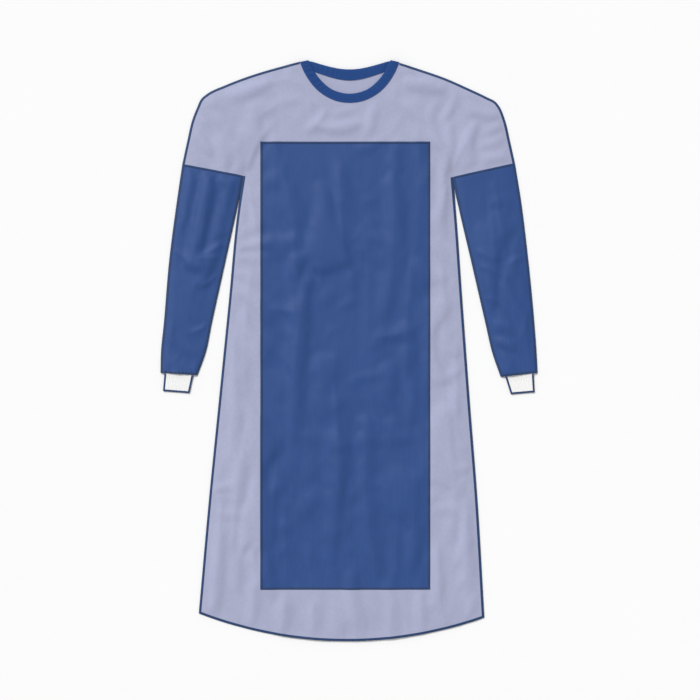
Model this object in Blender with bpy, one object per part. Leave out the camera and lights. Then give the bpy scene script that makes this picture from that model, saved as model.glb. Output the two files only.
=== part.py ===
"""Long-sleeved surgical gown, lying flat with its front up.

The cloth lies in levels. The back's left half is on the floor, its right half laps over that
across the middle, and the front lies over both. Each sleeve is a flattened tube with a knit cuff
in its end. Metres, +Z up, +Y towards the neck. The origin is on the floor under the gown's
middle. Left is -X. Sizes below are millimetres, and MM turns them into metres.
"""

import functools
import math
from collections import namedtuple

import bmesh
import bpy
from mathutils import Vector
from mathutils.geometry import delaunay_2d_cdt

MM = 0.001

# Cloth and its levels
CLOTH = 1.0               # wall of every panel, tube, tape and leaf of binding
SEAM_GAP = 0.3            # air between pieces that are sewn or rest on each other
LEVEL = CLOTH + SEAM_GAP  # rise from one layer to the next
FOLD = 0.4                # rounding of a folded edge

# The back's lap, seen in plan
FREE_EDGE = 90.0          # each back half ends this far past the middle
LAP_END = 124.0           # the upper half is down on the floor here
MIDDLE_END = 190.0        # the front has come down from the lap here
SHOULDER_END = 148.0      # and sooner at the shoulder seam
SHOULDER_REACH = 70.0     # within this distance of the seam
HEM_CLOSED = -635.0       # the layers lie close together from here to the hem
HEM_OPEN = -565.0         # and leave room for the tapes above here

# How far the front stands off the back, away from closed edges
PUFF = 3.2
PUFF_REACH = 22.0
WRIST_REACH = 4.0

# Shoulder and upper arm, from the neck binding to the sleeve seam
Shoulder = namedtuple("Shoulder", "left_x left_y right_x right_y")
SHOULDER = (
    Shoulder(-111.5, 648.0, 111.5, 645.5),
    Shoulder(-156.0, 636.5, 160.5, 630.0),
    Shoulder(-223.0, 616.5, 218.5, 609.5),
    Shoulder(-277.0, 596.0, 263.5, 589.5),
    Shoulder(-319.5, 576.0, 306.0, 569.5),
    Shoulder(-331.5, 566.0, 328.5, 557.0),
    Shoulder(-342.0, 544.5, 337.5, 544.5),
    Shoulder(-351.0, 522.0, 346.5, 522.0),
    Shoulder(-364.0, 468.5, 359.5, 468.5),
    Shoulder(-375.0, 417.0, 370.5, 419.0),
)

# Side seams, from the underarm to the corner of the hem
Side = namedtuple("Side", "left_x left_y right_x right_y")
SIDE = (
    Side(-238.5, 391.0, 231.0, 388.0),
    Side(-250.0, 316.0, 237.5, 316.0),
    Side(-270.0, 114.5, 252.0, 114.5),
    Side(-292.5, -110.0, 268.5, -110.0),
    Side(-315.0, -334.0, 286.0, -334.0),
    Side(-337.5, -585.0, 301.5, -597.0),
)
HEM_CENTRE = Vector((-5.5, 275.5))
HEM_RADIUS = 925.5

# Sleeves: the outer and the inner edge at each section, from the seam to the end
Section = namedtuple("Section", "outer_x outer_y inner_x inner_y")
LEFT_SLEEVE = (
    Section(-375.0, 417.0, -239.3, 390.8),
    Section(-386.5, 338.5, -249.3, 338.5),
    Section(-404.0, 204.0, -278.5, 204.0),
    Section(-416.5, 58.5, -310.5, 58.5),
    Section(-422.5, -2.0, -323.0, -2.0),
    Section(-423.5, -49.5, -342.0, -55.0),
)
RIGHT_SLEEVE = (
    Section(370.5, 419.0, 231.8, 387.8),
    Section(383.5, 338.5, 241.5, 338.5),
    Section(400.0, 204.0, 272.5, 204.0),
    Section(414.0, 58.5, 306.0, 58.5),
    Section(418.5, -2.0, 320.0, -2.0),
    Section(421.0, -49.5, 339.5, -58.5),
)

# Cuffs: the outer and the inner edge where the cuff leaves the sleeve, and at its hem
LEFT_CUFF = (Section(-414.5, -50.1, -351.0, -54.4), Section(-418.0, -89.5, -359.5, -94.0))
RIGHT_CUFF = (Section(412.0, -50.5, 349.5, -57.4), Section(414.5, -92.0, 362.0, -96.5))
CUFF_INSET = 10.0         # length held in the sleeve
CUFF_SETTLE = 13.0        # length over which it comes down to the floor
RIB_PITCH = 4.0
RIB_RISE = 0.4

# Neckline, half of it: the finished edge of the binding and the far edge of its leaf
Neck = namedtuple("Neck", "edge_x edge_y leaf_x leaf_y")
FRONT_NECK = (
    Neck(92.0, 651.5, 111.5, 647.0),
    Neck(79.0, 626.5, 101.0, 623.0),
    Neck(66.0, 608.5, 86.0, 599.5),
    Neck(45.0, 589.5, 63.0, 577.0),
    Neck(23.5, 580.0, 32.5, 561.0),
    Neck(0.0, 576.5, 0.0, 556.0),
)
BACK_NECK = (
    Neck(90.0, 649.8, 77.0, 624.8),
    Neck(65.0, 643.0, 64.0, 620.5),
    Neck(40.5, 636.5, 42.5, 613.5),
    Neck(19.0, 632.5, 21.5, 608.5),
    Neck(0.0, 631.5, 0.0, 606.5),
)
# The lower half's neckline, from the left shoulder to its free edge, under the upper half
UNDER_NECK = (
    Neck(-95.5, 649.5, -109.0, 646.0),
    Neck(-91.5, 632.0, -113.5, 627.0),
    Neck(-81.0, 617.5, -98.0, 602.5),
    Neck(-60.0, 609.0, -67.5, 587.5),
    Neck(-30.0, 604.5, -32.0, 582.0),
    Neck(1.0, 603.5, 1.0, 581.0),
    Neck(46.0, 605.5, 47.0, 583.0),
    Neck(89.7, 610.5, 89.7, 588.0),
)

# Front reinforcement
PATCH_LEFT = -199.5
PATCH_RIGHT = 180.0
PATCH_TOP = 468.5
PATCH_BOTTOM = -534.0

# Tie tapes, flat between the layers, inset from the free edges that they are sewn to
TIE_WIDTH = 22.0
TIE_INSET = 14.0
WAIST_TIE_TOP = 130.0
WAIST_TIE_BOTTOM = -545.0
NECK_TIE_TOP = 560.0
NECK_TIE_BOTTOM = 200.0

# Spacing of the mesh
EDGE_STEP = 46.0
CURVE_STEP = 24.0
ROW_STEP = 48.0
COLUMNS = (0.0, 45.0, FREE_EDGE, LAP_END, 157.0, MIDDLE_END, 228.0, 266.0, 304.0, 342.0)
RING_INSET = 12.0
CLEAR_OF_EDGE = 21.0
CLEAR_OF_LINE = 9.0
WELD = 1e-4

# Linear colours
PERIWINKLE = (0.402, 0.423, 0.584)
NAVY = (0.042, 0.091, 0.262)
DEEP_NAVY = (0.022, 0.070, 0.242)
WHITE = (0.80, 0.80, 0.78)


def smoothstep(low, high, value):
    share = min(max((value - low) / (high - low), 0.0), 1.0)
    return share * share * (3.0 - 2.0 * share)


def smooth_curve(points, step):
    """Points about step apart on one smooth curve through the given ones."""
    points = [Vector(point) for point in points]
    spans = [(b - a).length for a, b in zip(points, points[1:])]
    slopes = [(b - a) / span for a, b, span in zip(points, points[1:], spans)]
    inner = [
        (slopes[i] * spans[i + 1] + slopes[i + 1] * spans[i]) / (spans[i] + spans[i + 1])
        for i in range(len(spans) - 1)
    ]
    tangents = [slopes[0]] + inner + [slopes[-1]]
    curve = []
    for i, span in enumerate(spans):
        count = max(1, round(span / step))
        for k in range(count):
            t = k / count
            curve.append(
                points[i] * (2 * t**3 - 3 * t**2 + 1)
                + tangents[i] * span * (t**3 - 2 * t**2 + t)
                + points[i + 1] * (3 * t**2 - 2 * t**3)
                + tangents[i + 1] * span * (t**3 - t**2)
            )
    return curve + [points[-1]]


def straight_line(start, end, step):
    """Points from start to end, both included."""
    count = max(1, round((end - start).length / step))
    return [start.lerp(end, k / count) for k in range(count + 1)]


def segment_distance(point, start, end):
    along = (point - start).dot(end - start) / (end - start).length_squared
    return (point - start.lerp(end, min(max(along, 0.0), 1.0))).length


def line_distance(point, line):
    return min(segment_distance(point, a, b) for a, b in zip(line, line[1:]))


def inside(point, polygon):
    """True if the point is in the polygon, by counting edges to its right."""
    odd = False
    for a, b in zip(polygon, polygon[1:] + polygon[:1]):
        if (a.y > point.y) != (b.y > point.y):
            if point.x < a.x + (point.y - a.y) / (b.y - a.y) * (b.x - a.x):
                odd = not odd
    return odd


# Outlines in plan ---------------------------------------------------------------------------


def hem_line(start_x, end_x):
    """The hem's arc between two places, its ends included."""
    count = max(1, round(abs(end_x - start_x) / EDGE_STEP))
    places = [start_x + (end_x - start_x) * k / count for k in range(count + 1)]
    return [
        Vector((x, HEM_CENTRE.y - math.sqrt(HEM_RADIUS**2 - (x - HEM_CENTRE.x) ** 2)))
        for x in places
    ]


def sleeve_edge(sections, edge):
    """One edge of a sleeve, from its seam to its end; edge is outer or inner."""
    ends = [(getattr(row, edge + "_x"), getattr(row, edge + "_y")) for row in sections]
    return smooth_curve(ends, EDGE_STEP)


def mirrored(rows):
    """Half a neckline's rows, turned into the whole line from left to right."""
    left = [Neck(-row.edge_x, row.edge_y, -row.leaf_x, row.leaf_y) for row in rows]
    return left + list(rows[-2::-1])


def neck_sections(rows, step=CURVE_STEP / 2.5):
    """Pairs of finished edge and leaf edge, evenly along a neckline."""
    joined = [(row.edge_x, row.edge_y, row.leaf_x, row.leaf_y) for row in rows]
    return [(point.xy, Vector((point[2], point[3]))) for point in smooth_curve(joined, step)]


def held_edge(sections):
    """The panel's own neck edge, one wall and one gap inside the binding's fold."""
    return [edge + (leaf - edge).normalized() * LEVEL for edge, leaf in sections]


LEFT_SHOULDER = smooth_curve([(row.left_x, row.left_y) for row in SHOULDER], CURVE_STEP)
RIGHT_SHOULDER = smooth_curve([(row.right_x, row.right_y) for row in SHOULDER], CURVE_STEP)
LEFT_SIDE = smooth_curve([(row.left_x, row.left_y) for row in SIDE], EDGE_STEP)
RIGHT_SIDE = smooth_curve([(row.right_x, row.right_y) for row in SIDE], EDGE_STEP)
LEFT_SEAM = straight_line(LEFT_SHOULDER[-1], LEFT_SIDE[0], EDGE_STEP)
RIGHT_SEAM = straight_line(RIGHT_SHOULDER[-1], RIGHT_SIDE[0], EDGE_STEP)
HEM_START = LEFT_SIDE[-1].x
HEM_END = RIGHT_SIDE[-1].x
HEM_PARTS = (
    hem_line(HEM_START, -FREE_EDGE),
    hem_line(-FREE_EDGE, FREE_EDGE),
    hem_line(FREE_EDGE, HEM_END),
)
HEM = HEM_PARTS[0] + HEM_PARTS[1][1:] + HEM_PARTS[2][1:]
FRONT_BINDING = neck_sections(mirrored(FRONT_NECK))
BACK_BINDING = neck_sections(mirrored(BACK_NECK))
UNDER_BINDING = neck_sections(UNDER_NECK)

# From the neck down the left, and from the hem up the right, without the hem's corners
DOWN_LEFT = LEFT_SHOULDER + LEFT_SEAM[1:] + LEFT_SIDE[1:-1]
UP_RIGHT = RIGHT_SIDE[-2::-1] + RIGHT_SEAM[-2::-1] + RIGHT_SHOULDER[-2::-1]

CLOSED_EDGES = (
    LEFT_SHOULDER,
    RIGHT_SHOULDER,
    LEFT_SIDE,
    RIGHT_SIDE,
    sleeve_edge(LEFT_SLEEVE, "outer"),
    sleeve_edge(LEFT_SLEEVE, "inner"),
    sleeve_edge(RIGHT_SLEEVE, "outer"),
    sleeve_edge(RIGHT_SLEEVE, "inner"),
    HEM,
)


def front_outline():
    neck = held_edge(FRONT_BINDING)
    return DOWN_LEFT + HEM + UP_RIGHT + neck[::-1]


def back_left_outline():
    hem = HEM_PARTS[0] + HEM_PARTS[1][1:]
    neck = held_edge(UNDER_BINDING)
    free_edge = Vector((FREE_EDGE, neck[-1].y))
    return DOWN_LEFT + hem + [free_edge] + neck[-2::-1]


def back_right_outline():
    hem = HEM_PARTS[1] + HEM_PARTS[2][1:]
    neck = held_edge(BACK_BINDING)
    free_edge = Vector((-FREE_EDGE, neck[0].y))
    return hem + UP_RIGHT + neck[:0:-1] + [free_edge]


# Heights, as the underside of each layer ----------------------------------------------------


@functools.lru_cache(maxsize=None)
def edge_distance(x, y):
    """Distance in plan to the nearest edge where front and back meet."""
    return min(line_distance(Vector((x, y)), line) for line in CLOSED_EDGES)


def puff(x, y, reach=PUFF_REACH):
    return PUFF * (1.0 - math.exp(-edge_distance(x, y) / reach))


def tape_room(y):
    return smoothstep(HEM_CLOSED, HEM_OPEN, y)


def front_height(x, y):
    shoulder = LEFT_SHOULDER if x < 0.0 else RIGHT_SHOULDER
    from_seam = smoothstep(0.0, SHOULDER_REACH, line_distance(Vector((x, y)), shoulder))
    middle_end = SHOULDER_END + (MIDDLE_END - SHOULDER_END) * from_seam
    middle = LEVEL * (2.0 + 2.0 * tape_room(y))
    side = LEVEL + puff(x, y)
    share = smoothstep(middle_end, LAP_END, abs(x))
    return share * middle + (1.0 - share) * side


def back_left_height(x, y):
    return 0.0


def back_right_height(x, y):
    return LEVEL * (1.0 + tape_room(y)) * smoothstep(LAP_END, FREE_EDGE, x)


def reinforcement_height(x, y):
    return front_height(x, y) + LEVEL


# One cut of the plan, which every panel takes its triangles from -----------------------------


def inset_ring(outline):
    """Points a little inside the outline, where the cloth turns down to its edge."""
    ring = []
    for before, here, after in zip(outline[-1:] + outline, outline, outline[1:] + outline[:1]):
        along = (after - before).normalized()
        ring.append(here + Vector((-along.y, along.x)) * RING_INSET)
    return ring


def inner_points(outline, lines):
    """Grid and ring points that aren't too near to an outline or a cutting line."""
    xs = sorted({side * column for column in COLUMNS for side in (-1, 1)})
    top = max(point.y for point in outline)
    bottom = min(point.y for point in outline)
    rows = round((top - bottom) / ROW_STEP)
    grid = [Vector((x, bottom + (top - bottom) * k / rows)) for x in xs for k in range(rows)]
    closed = outline + outline[:1]
    kept = []
    for points, clear in ((inset_ring(outline), RING_INSET * 0.8), (grid, CLEAR_OF_EDGE)):
        for point in points:
            if not inside(point, outline) or line_distance(point, closed) < clear:
                continue
            if min(line_distance(point, line) for line in lines) < CLEAR_OF_LINE:
                continue
            kept.append(point)
    return kept


def patch_outline():
    corners = (
        Vector((PATCH_LEFT, PATCH_TOP)),
        Vector((PATCH_LEFT, PATCH_BOTTOM)),
        Vector((PATCH_RIGHT, PATCH_BOTTOM)),
        Vector((PATCH_RIGHT, PATCH_TOP)),
    )
    outline = []
    for start, end in zip(corners, corners[1:] + corners[:1]):
        outline += straight_line(start, end, ROW_STEP)[:-1]
    return outline


def cut_plan(outlines):
    """Points and triangles of the plan, cut along every outline."""
    points = []
    edges = []
    for outline in outlines:
        first = len(points)
        points += outline
        edges += [(first + k, first + (k + 1) % len(outline)) for k in range(len(outline))]
    lines = [outline + outline[:1] for outline in outlines[1:]]
    points += inner_points(outlines[0], lines)
    cut = delaunay_2d_cdt(points, edges, [], 0, WELD)
    return cut[0], cut[2]


def triangles_in(plan, outline):
    points, triangles = plan
    chosen = []
    for triangle in triangles:
        centre = sum((points[i] for i in triangle), Vector((0.0, 0.0))) / 3.0
        if inside(centre, outline):
            chosen.append(tuple(triangle))
    return chosen


# Solids ---------------------------------------------------------------------------------------


def clear_scene():
    for thing in list(bpy.data.objects):
        bpy.data.objects.remove(thing, do_unlink=True)


def cloth_material(name, colour, roughness):
    material = bpy.data.materials.new(name)
    material.use_nodes = True
    shader = material.node_tree.nodes["Principled BSDF"]
    shader.inputs["Base Color"].default_value = (*colour, 1.0)
    shader.inputs["Roughness"].default_value = roughness
    shader.inputs["Metallic"].default_value = 0.0
    return material


def add_solid(name, points, faces, material, parent):
    """One closed mesh from points in millimetres, with its faces pointing out."""
    mesh = bpy.data.meshes.new(name)
    mesh.from_pydata([Vector(point) * MM for point in points], [], faces)
    shape = bmesh.new()
    shape.from_mesh(mesh)
    bmesh.ops.recalc_face_normals(shape, faces=shape.faces)
    shape.to_mesh(mesh)
    shape.free()
    mesh.materials.append(material)
    solid = bpy.data.objects.new(name, mesh)
    bpy.context.scene.collection.objects.link(solid)
    solid.parent = parent
    return solid


def panel(name, plan, outline, height, material, parent):
    """A panel of cloth: the plan's triangles inside an outline, lifted and given a wall."""
    points, _ = plan
    triangles = triangles_in(plan, outline)
    used = sorted({i for triangle in triangles for i in triangle})
    place = {i: k for k, i in enumerate(used)}
    under = [(points[i].x, points[i].y, height(points[i].x, points[i].y)) for i in used]
    upper = [(x, y, z + CLOTH) for x, y, z in under]
    count = len(used)
    faces = []
    sides = set()
    for triangle in triangles:
        a, b, c = (place[i] for i in triangle)
        faces.append((a + count, b + count, c + count))
        faces.append((c, b, a))
        sides |= {(a, b), (b, c), (c, a)}
    for a, b in sorted(sides):
        if (b, a) not in sides:
            faces.append((a, b, b + count, a + count))
    return add_solid(name, under + upper, faces, material, parent)


def loft(name, loops, material, parent):
    """A solid through equal loops, capped at both ends."""
    size = len(loops[0])
    faces = [tuple(range(size))[::-1]]
    for k in range(len(loops) - 1):
        for i in range(size):
            j = (i + 1) % size
            faces.append((k * size + i, k * size + j, (k + 1) * size + j, (k + 1) * size + i))
    last = (len(loops) - 1) * size
    faces.append(tuple(range(last, last + size)))
    return add_solid(name, [point for loop in loops for point in loop], faces, material, parent)


def open_tube(name, outer_loops, inner_loops, material, parent):
    """A wall between outer and inner loops, open at both ends."""
    size = len(outer_loops[0])
    rings = len(outer_loops)
    points = [point for loop in outer_loops + inner_loops for point in loop]
    shift = rings * size
    faces = []
    for i in range(size):
        j = (i + 1) % size
        for k in range(rings - 1):
            a, b, c, d = k * size + i, k * size + j, (k + 1) * size + j, (k + 1) * size + i
            faces.append((a, b, c, d))
            faces.append((d + shift, c + shift, b + shift, a + shift))
        last = (rings - 1) * size
        faces.append((j, i, i + shift, j + shift))
        faces.append((last + i, last + j, last + j + shift, last + i + shift))
    return add_solid(name, points, faces, material, parent)


def binding(name, sections, low, high, material, parent):
    """A strip folded over a neck edge, with leaves on the given levels of the stack."""
    bottom = low * LEVEL
    top = high * LEVEL + CLOTH
    loops = []
    for edge, leaf in sections:
        width = (leaf - edge).length
        out = (leaf - edge) / width
        profile = (
            (FOLD, bottom),
            (width, bottom),
            (width, bottom + CLOTH),
            (CLOTH, bottom + CLOTH),
            (CLOTH, top - CLOTH),
            (width, top - CLOTH),
            (width, top),
            (FOLD, top),
            (0.0, top - FOLD),
            (0.0, bottom + FOLD),
        )
        loops.append([(*(edge + out * across), z) for across, z in profile])
    return loft(name, loops, material, parent)


def lapped_binding(name, sections, material, parent):
    """A strip on the top of a panel that lies on the floor, turned down over its edge."""
    top = LEVEL + CLOTH
    loops = []
    for edge, leaf in sections:
        width = (leaf - edge).length
        out = (leaf - edge) / width
        profile = (
            (0.0, 0.0),
            (CLOTH, 0.0),
            (CLOTH, LEVEL),
            (width, LEVEL),
            (width, top),
            (FOLD, top),
            (0.0, top - FOLD),
        )
        loops.append([(*(edge + out * across), z) for across, z in profile])
    return loft(name, loops, material, parent)


def sleeve(name, sections, seam, material, parent):
    """A flattened tube from the sleeve seam to its end."""
    outer_edge = sleeve_edge(sections, "outer")
    inner_edge = sleeve_edge(sections, "inner")
    count = min(len(outer_edge), len(inner_edge))
    stations = [k / (count - 1) for k in range(count)]
    down = (outer_edge[1] - outer_edge[0]).normalized()
    clear = down * SEAM_GAP / abs(down.dot(seam_normal(seam)))
    outer_loops = []
    inner_loops = []
    for share in stations:
        start = along_line(outer_edge, share)
        end = along_line(inner_edge, share)
        if share == 0.0:
            start += clear
            end += clear
        reach = PUFF_REACH + (WRIST_REACH - PUFF_REACH) * smoothstep(0.8, 1.0, share)
        outer, inner = sleeve_loops(start, end, reach)
        outer_loops.append(outer)
        inner_loops.append(inner)
    return open_tube(name, outer_loops, inner_loops, material, parent)


def seam_normal(seam):
    along = (seam[-1] - seam[0]).normalized()
    return Vector((-along.y, along.x))


def along_line(line, share):
    """The point at a share of the line's points."""
    place = share * (len(line) - 1)
    first = min(int(place), len(line) - 2)
    return line[first].lerp(line[first + 1], place - first)


def sleeve_loops(start, end, reach):
    """Outer and inner loop of a sleeve where it crosses the arm from start to end."""
    width = (end - start).length
    across = (end - start) / width
    closed = 2.0 * CLOTH + SEAM_GAP
    middle = closed / 2.0
    top_places = (7.0, 18.0, width / 2.0, width - 18.0, width - 7.0)
    outer = [(0.0, middle), (0.3, middle + 0.8), (CLOTH, closed)]
    inner = [(CLOTH, middle), (CLOTH + 0.05, middle + 0.1), (CLOTH + 0.2, CLOTH + SEAM_GAP)]
    for place in top_places:
        point = start + across * place
        nearest = min(place, width - place, edge_distance(point.x, point.y))
        rise = PUFF * (1.0 - math.exp(-nearest / reach))
        outer.append((place, closed + rise))
        inner.append((place, CLOTH + SEAM_GAP + rise))
    outer += [(width - CLOTH, closed), (width - 0.3, middle + 0.8), (width, middle)]
    inner += [
        (width - CLOTH - 0.2, CLOTH + SEAM_GAP),
        (width - CLOTH - 0.05, middle + 0.1),
        (width - CLOTH, middle),
    ]
    outer += [(width - 0.3, middle - 0.8), (width - CLOTH, 0.0), (width / 2.0, 0.0)]
    inner += [
        (width - CLOTH - 0.05, middle - 0.1),
        (width - CLOTH - 0.2, CLOTH),
        (width / 2.0, CLOTH),
    ]
    outer += [(CLOTH, 0.0), (0.3, middle - 0.8)]
    inner += [(CLOTH + 0.2, CLOTH), (CLOTH + 0.05, middle - 0.1)]
    return tuple(
        [(*(start + across * place), z) for place, z in loop] for loop in (outer, inner)
    )


def cuff(name, ends, material, parent):
    """A ribbed knit tube, held in the sleeve's end and lying on the floor past it."""
    top_start, top_end, hem_start, hem_end = (
        Vector((ends[0].outer_x, ends[0].outer_y)),
        Vector((ends[0].inner_x, ends[0].inner_y)),
        Vector((ends[1].outer_x, ends[1].outer_y)),
        Vector((ends[1].inner_x, ends[1].inner_y)),
    )
    length = (hem_start - top_start).length
    ribs = round((top_end - top_start).length / RIB_PITCH)
    outer_loops = []
    inner_loops = []
    places = (-CUFF_INSET, -1.0, 1.0, CUFF_SETTLE / 2.0, CUFF_SETTLE, length * 0.65, length)
    for place in places:
        start = top_start.lerp(hem_start, place / length)
        end = top_end.lerp(hem_end, place / length)
        free = smoothstep(0.0, CUFF_SETTLE, place)
        outer, inner = cuff_loops(start, end, LEVEL * (1.0 - free), RIB_RISE * free, ribs)
        outer_loops.append(outer)
        inner_loops.append(inner)
    return open_tube(name, outer_loops, inner_loops, material, parent)


def cuff_loops(start, end, low, rise, ribs):
    """Outer and inner loop of a cuff: ribs along its top, plain inside and underneath."""
    width = (end - start).length
    across = (end - start) / width
    closed = 2.0 * CLOTH + SEAM_GAP
    middle = low + closed / 2.0
    flat = width - 2.0 * CLOTH
    outer = [(0.0, middle)]
    inner = [(CLOTH, middle)]
    for k in range(2 * ribs + 1):
        share = k / (2 * ribs)
        crest = rise if k % 2 else 0.0
        outer.append((CLOTH + flat * share, low + closed + crest))
        inner.append((CLOTH + 0.2 + (flat - 0.4) * share, low + CLOTH + SEAM_GAP))
    outer.append((width, middle))
    inner.append((width - CLOTH, middle))
    for share in (1.0, 0.5, 0.0):
        outer.append((CLOTH + flat * share, low))
        inner.append((CLOTH + 0.2 + (flat - 0.4) * share, low + CLOTH))
    return tuple(
        [(*(start + across * place), z) for place, z in loop] for loop in (outer, inner)
    )


def tie(name, side, level, top, bottom, material, parent):
    """A straight tape beside the free edge on one side, flat on the given level."""
    near = side * (FREE_EDGE - TIE_INSET)
    far = side * (FREE_EDGE - TIE_INSET - TIE_WIDTH)
    low_x, high_x = sorted((near, far))
    loops = []
    for y in (bottom, top):
        loops.append(
            [
                (low_x, y, level * LEVEL),
                (low_x, y, level * LEVEL + CLOTH),
                (high_x, y, level * LEVEL + CLOTH),
                (high_x, y, level * LEVEL),
            ]
        )
    return loft(name, loops, material, parent)


def build():
    clear_scene()
    gown = bpy.data.objects.new("gown", None)
    bpy.context.scene.collection.objects.link(gown)
    body_cloth = cloth_material("body_cloth", PERIWINKLE, 0.75)
    barrier_cloth = cloth_material("barrier_cloth", NAVY, 0.55)
    binding_cloth = cloth_material("binding_cloth", DEEP_NAVY, 0.7)
    knit = cloth_material("cuff_knit", WHITE, 0.9)

    front = front_outline()
    back_left = back_left_outline()
    back_right = back_right_outline()
    patch = patch_outline()
    plan = cut_plan([front, back_left, back_right, patch])
    panel("back_panel_left", plan, back_left, back_left_height, body_cloth, gown)
    panel("back_panel_right", plan, back_right, back_right_height, body_cloth, gown)
    panel("front_panel", plan, front, front_height, body_cloth, gown)
    panel("front_reinforcement", plan, patch, reinforcement_height, barrier_cloth, gown)

    lapped_binding("neck_binding_back_left", UNDER_BINDING, binding_cloth, gown)
    binding("neck_binding_back_right", BACK_BINDING, 1, 3, binding_cloth, gown)
    binding("neck_binding_front", FRONT_BINDING, 3, 5, binding_cloth, gown)

    sleeve("sleeve_left", LEFT_SLEEVE, LEFT_SEAM, barrier_cloth, gown)
    sleeve("sleeve_right", RIGHT_SLEEVE, RIGHT_SEAM, barrier_cloth, gown)
    cuff("cuff_left", LEFT_CUFF, knit, gown)
    cuff("cuff_right", RIGHT_CUFF, knit, gown)

    tie("neck_tie_left", 1, 1, NECK_TIE_TOP, NECK_TIE_BOTTOM, body_cloth, gown)
    tie("neck_tie_right", -1, 3, NECK_TIE_TOP, NECK_TIE_BOTTOM, body_cloth, gown)
    tie("waist_tie_left", 1, 1, WAIST_TIE_TOP, WAIST_TIE_BOTTOM, body_cloth, gown)
    tie("waist_tie_right", -1, 3, WAIST_TIE_TOP, WAIST_TIE_BOTTOM, body_cloth, gown)


build()
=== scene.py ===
"""Surgical gown laid flat on a pale floor: creased cloth, sewing, knit cuffs, light and camera.

Every piece lies where its CAD solid lies, in the same levels of cloth. Sizes are millimetres, and
MM turns them into metres. +Z is up, +Y points to the neck, and left is -X.
"""

import math
from collections import namedtuple

import bpy
import numpy as np
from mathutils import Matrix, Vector, noise
from mathutils.geometry import delaunay_2d_cdt


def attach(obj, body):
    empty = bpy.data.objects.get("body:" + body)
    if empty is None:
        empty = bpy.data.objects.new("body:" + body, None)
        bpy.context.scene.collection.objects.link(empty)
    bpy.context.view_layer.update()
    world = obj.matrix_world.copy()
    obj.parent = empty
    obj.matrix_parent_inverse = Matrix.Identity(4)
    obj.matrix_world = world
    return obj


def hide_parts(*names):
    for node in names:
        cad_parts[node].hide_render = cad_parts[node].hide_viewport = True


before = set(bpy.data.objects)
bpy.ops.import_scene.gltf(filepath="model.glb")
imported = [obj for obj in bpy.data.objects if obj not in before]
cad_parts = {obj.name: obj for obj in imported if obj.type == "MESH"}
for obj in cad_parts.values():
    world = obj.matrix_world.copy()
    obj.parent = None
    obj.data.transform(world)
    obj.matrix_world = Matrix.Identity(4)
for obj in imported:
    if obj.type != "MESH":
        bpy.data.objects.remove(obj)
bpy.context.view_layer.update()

MM = 0.001


def rows_of(kind, *rows):
    return tuple(kind(*row) for row in rows)


# Cloth and its levels, as in the solids
CLOTH = 1.0
SEAM_GAP = 0.3
LEVEL = CLOTH + SEAM_GAP
CLOSED = 2.0 * CLOTH + SEAM_GAP  # height of a flattened tube at its folds
FREE_EDGE = 90.0
LAP_END = 124.0  # the front is high over the lap, this far out
MIDDLE_END = 190.0  # and down to one level here
SHOULDER_END = 148.0  # or here beside the shoulders
SHOULDER_REACH = 70.0
HEM_CLOSED = -635.0  # layers lie close at the hem, and apart from here
HEM_OPEN = -565.0
PUFF = 3.2  # upper cloth stands off by this, well inside its edge
PUFF_REACH = 22.0
FOLD_ANGLES = np.radians((-45.0, 0.0, 45.0))
WRIST_REACH = 4.0
WRIST_START = 45.0  # a sleeve's edge fills out from here
WRIST_END = -52.0  # to here
WRIST_TRIM = 1.2  # room for the thread round its end
SEAM_TRIM = 0.32  # and between it and the body

# The thin cloth that shows
SHEET = 0.5  # thickness of a cloth piece
SHEET_LIFT = 0.3  # a piece's underside above its solid's underside, off the floor
SLEEVE_DROP = CLOTH - SHEET - SHEET_LIFT
PATCH_LIFT = 0.15  # air between the front and its reinforcement
EDGE_LIFT = 0.45  # the back's underside rises this much under a sewn edge
EDGE_LIFT_REACH = (2.5, 9.0)
TAPE_LIFT = 0.6  # and this much over the tape at the lower back's neckline
TAPE_LIFT_FADE = 9.0
TAPE_WIDTH = 22.5

# Outlines: each row is a point of one line and the point beside it on its partner
Pair = namedtuple("Pair", "left_x left_y right_x right_y")
Section = namedtuple("Section", "outer_x outer_y inner_x inner_y")
Neck = namedtuple("Neck", "edge_x edge_y leaf_x leaf_y")
SHOULDER = rows_of(Pair,
    (-111.5, 648.0, 111.5, 645.5), (-156.0, 636.5, 160.5, 630.0), (-223.0, 616.5, 218.5, 609.5),
    (-277.0, 596.0, 263.5, 589.5), (-319.5, 576.0, 306.0, 569.5), (-331.5, 566.0, 328.5, 557.0),
    (-342.0, 544.5, 337.5, 544.5), (-351.0, 522.0, 346.5, 522.0), (-364.0, 468.5, 359.5, 468.5),
    (-375.0, 417.0, 370.5, 419.0),
)
SIDE = rows_of(Pair,
    (-238.5, 391.0, 231.0, 388.0), (-250.0, 316.0, 237.5, 316.0), (-270.0, 114.5, 252.0, 114.5),
    (-292.5, -110.0, 268.5, -110.0), (-315.0, -334.0, 286.0, -334.0),
    (-337.5, -585.0, 301.5, -597.0),
)
LEFT_SLEEVE = rows_of(Section,
    (-375.0, 417.0, -239.3, 390.8), (-386.5, 338.5, -249.3, 338.5), (-404.0, 204.0, -278.5, 204.0),
    (-416.5, 58.5, -310.5, 58.5), (-422.5, -2.0, -323.0, -2.0), (-423.5, -49.5, -342.0, -55.0),
)
RIGHT_SLEEVE = rows_of(Section,
    (370.5, 419.0, 231.8, 387.8), (383.5, 338.5, 241.5, 338.5), (400.0, 204.0, 272.5, 204.0),
    (414.0, 58.5, 306.0, 58.5), (418.5, -2.0, 320.0, -2.0), (421.0, -49.5, 339.5, -58.5),
)
LEFT_CUFF = rows_of(Section, (-414.5, -50.1, -351.0, -54.4), (-418.0, -89.5, -359.5, -94.0))
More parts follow.
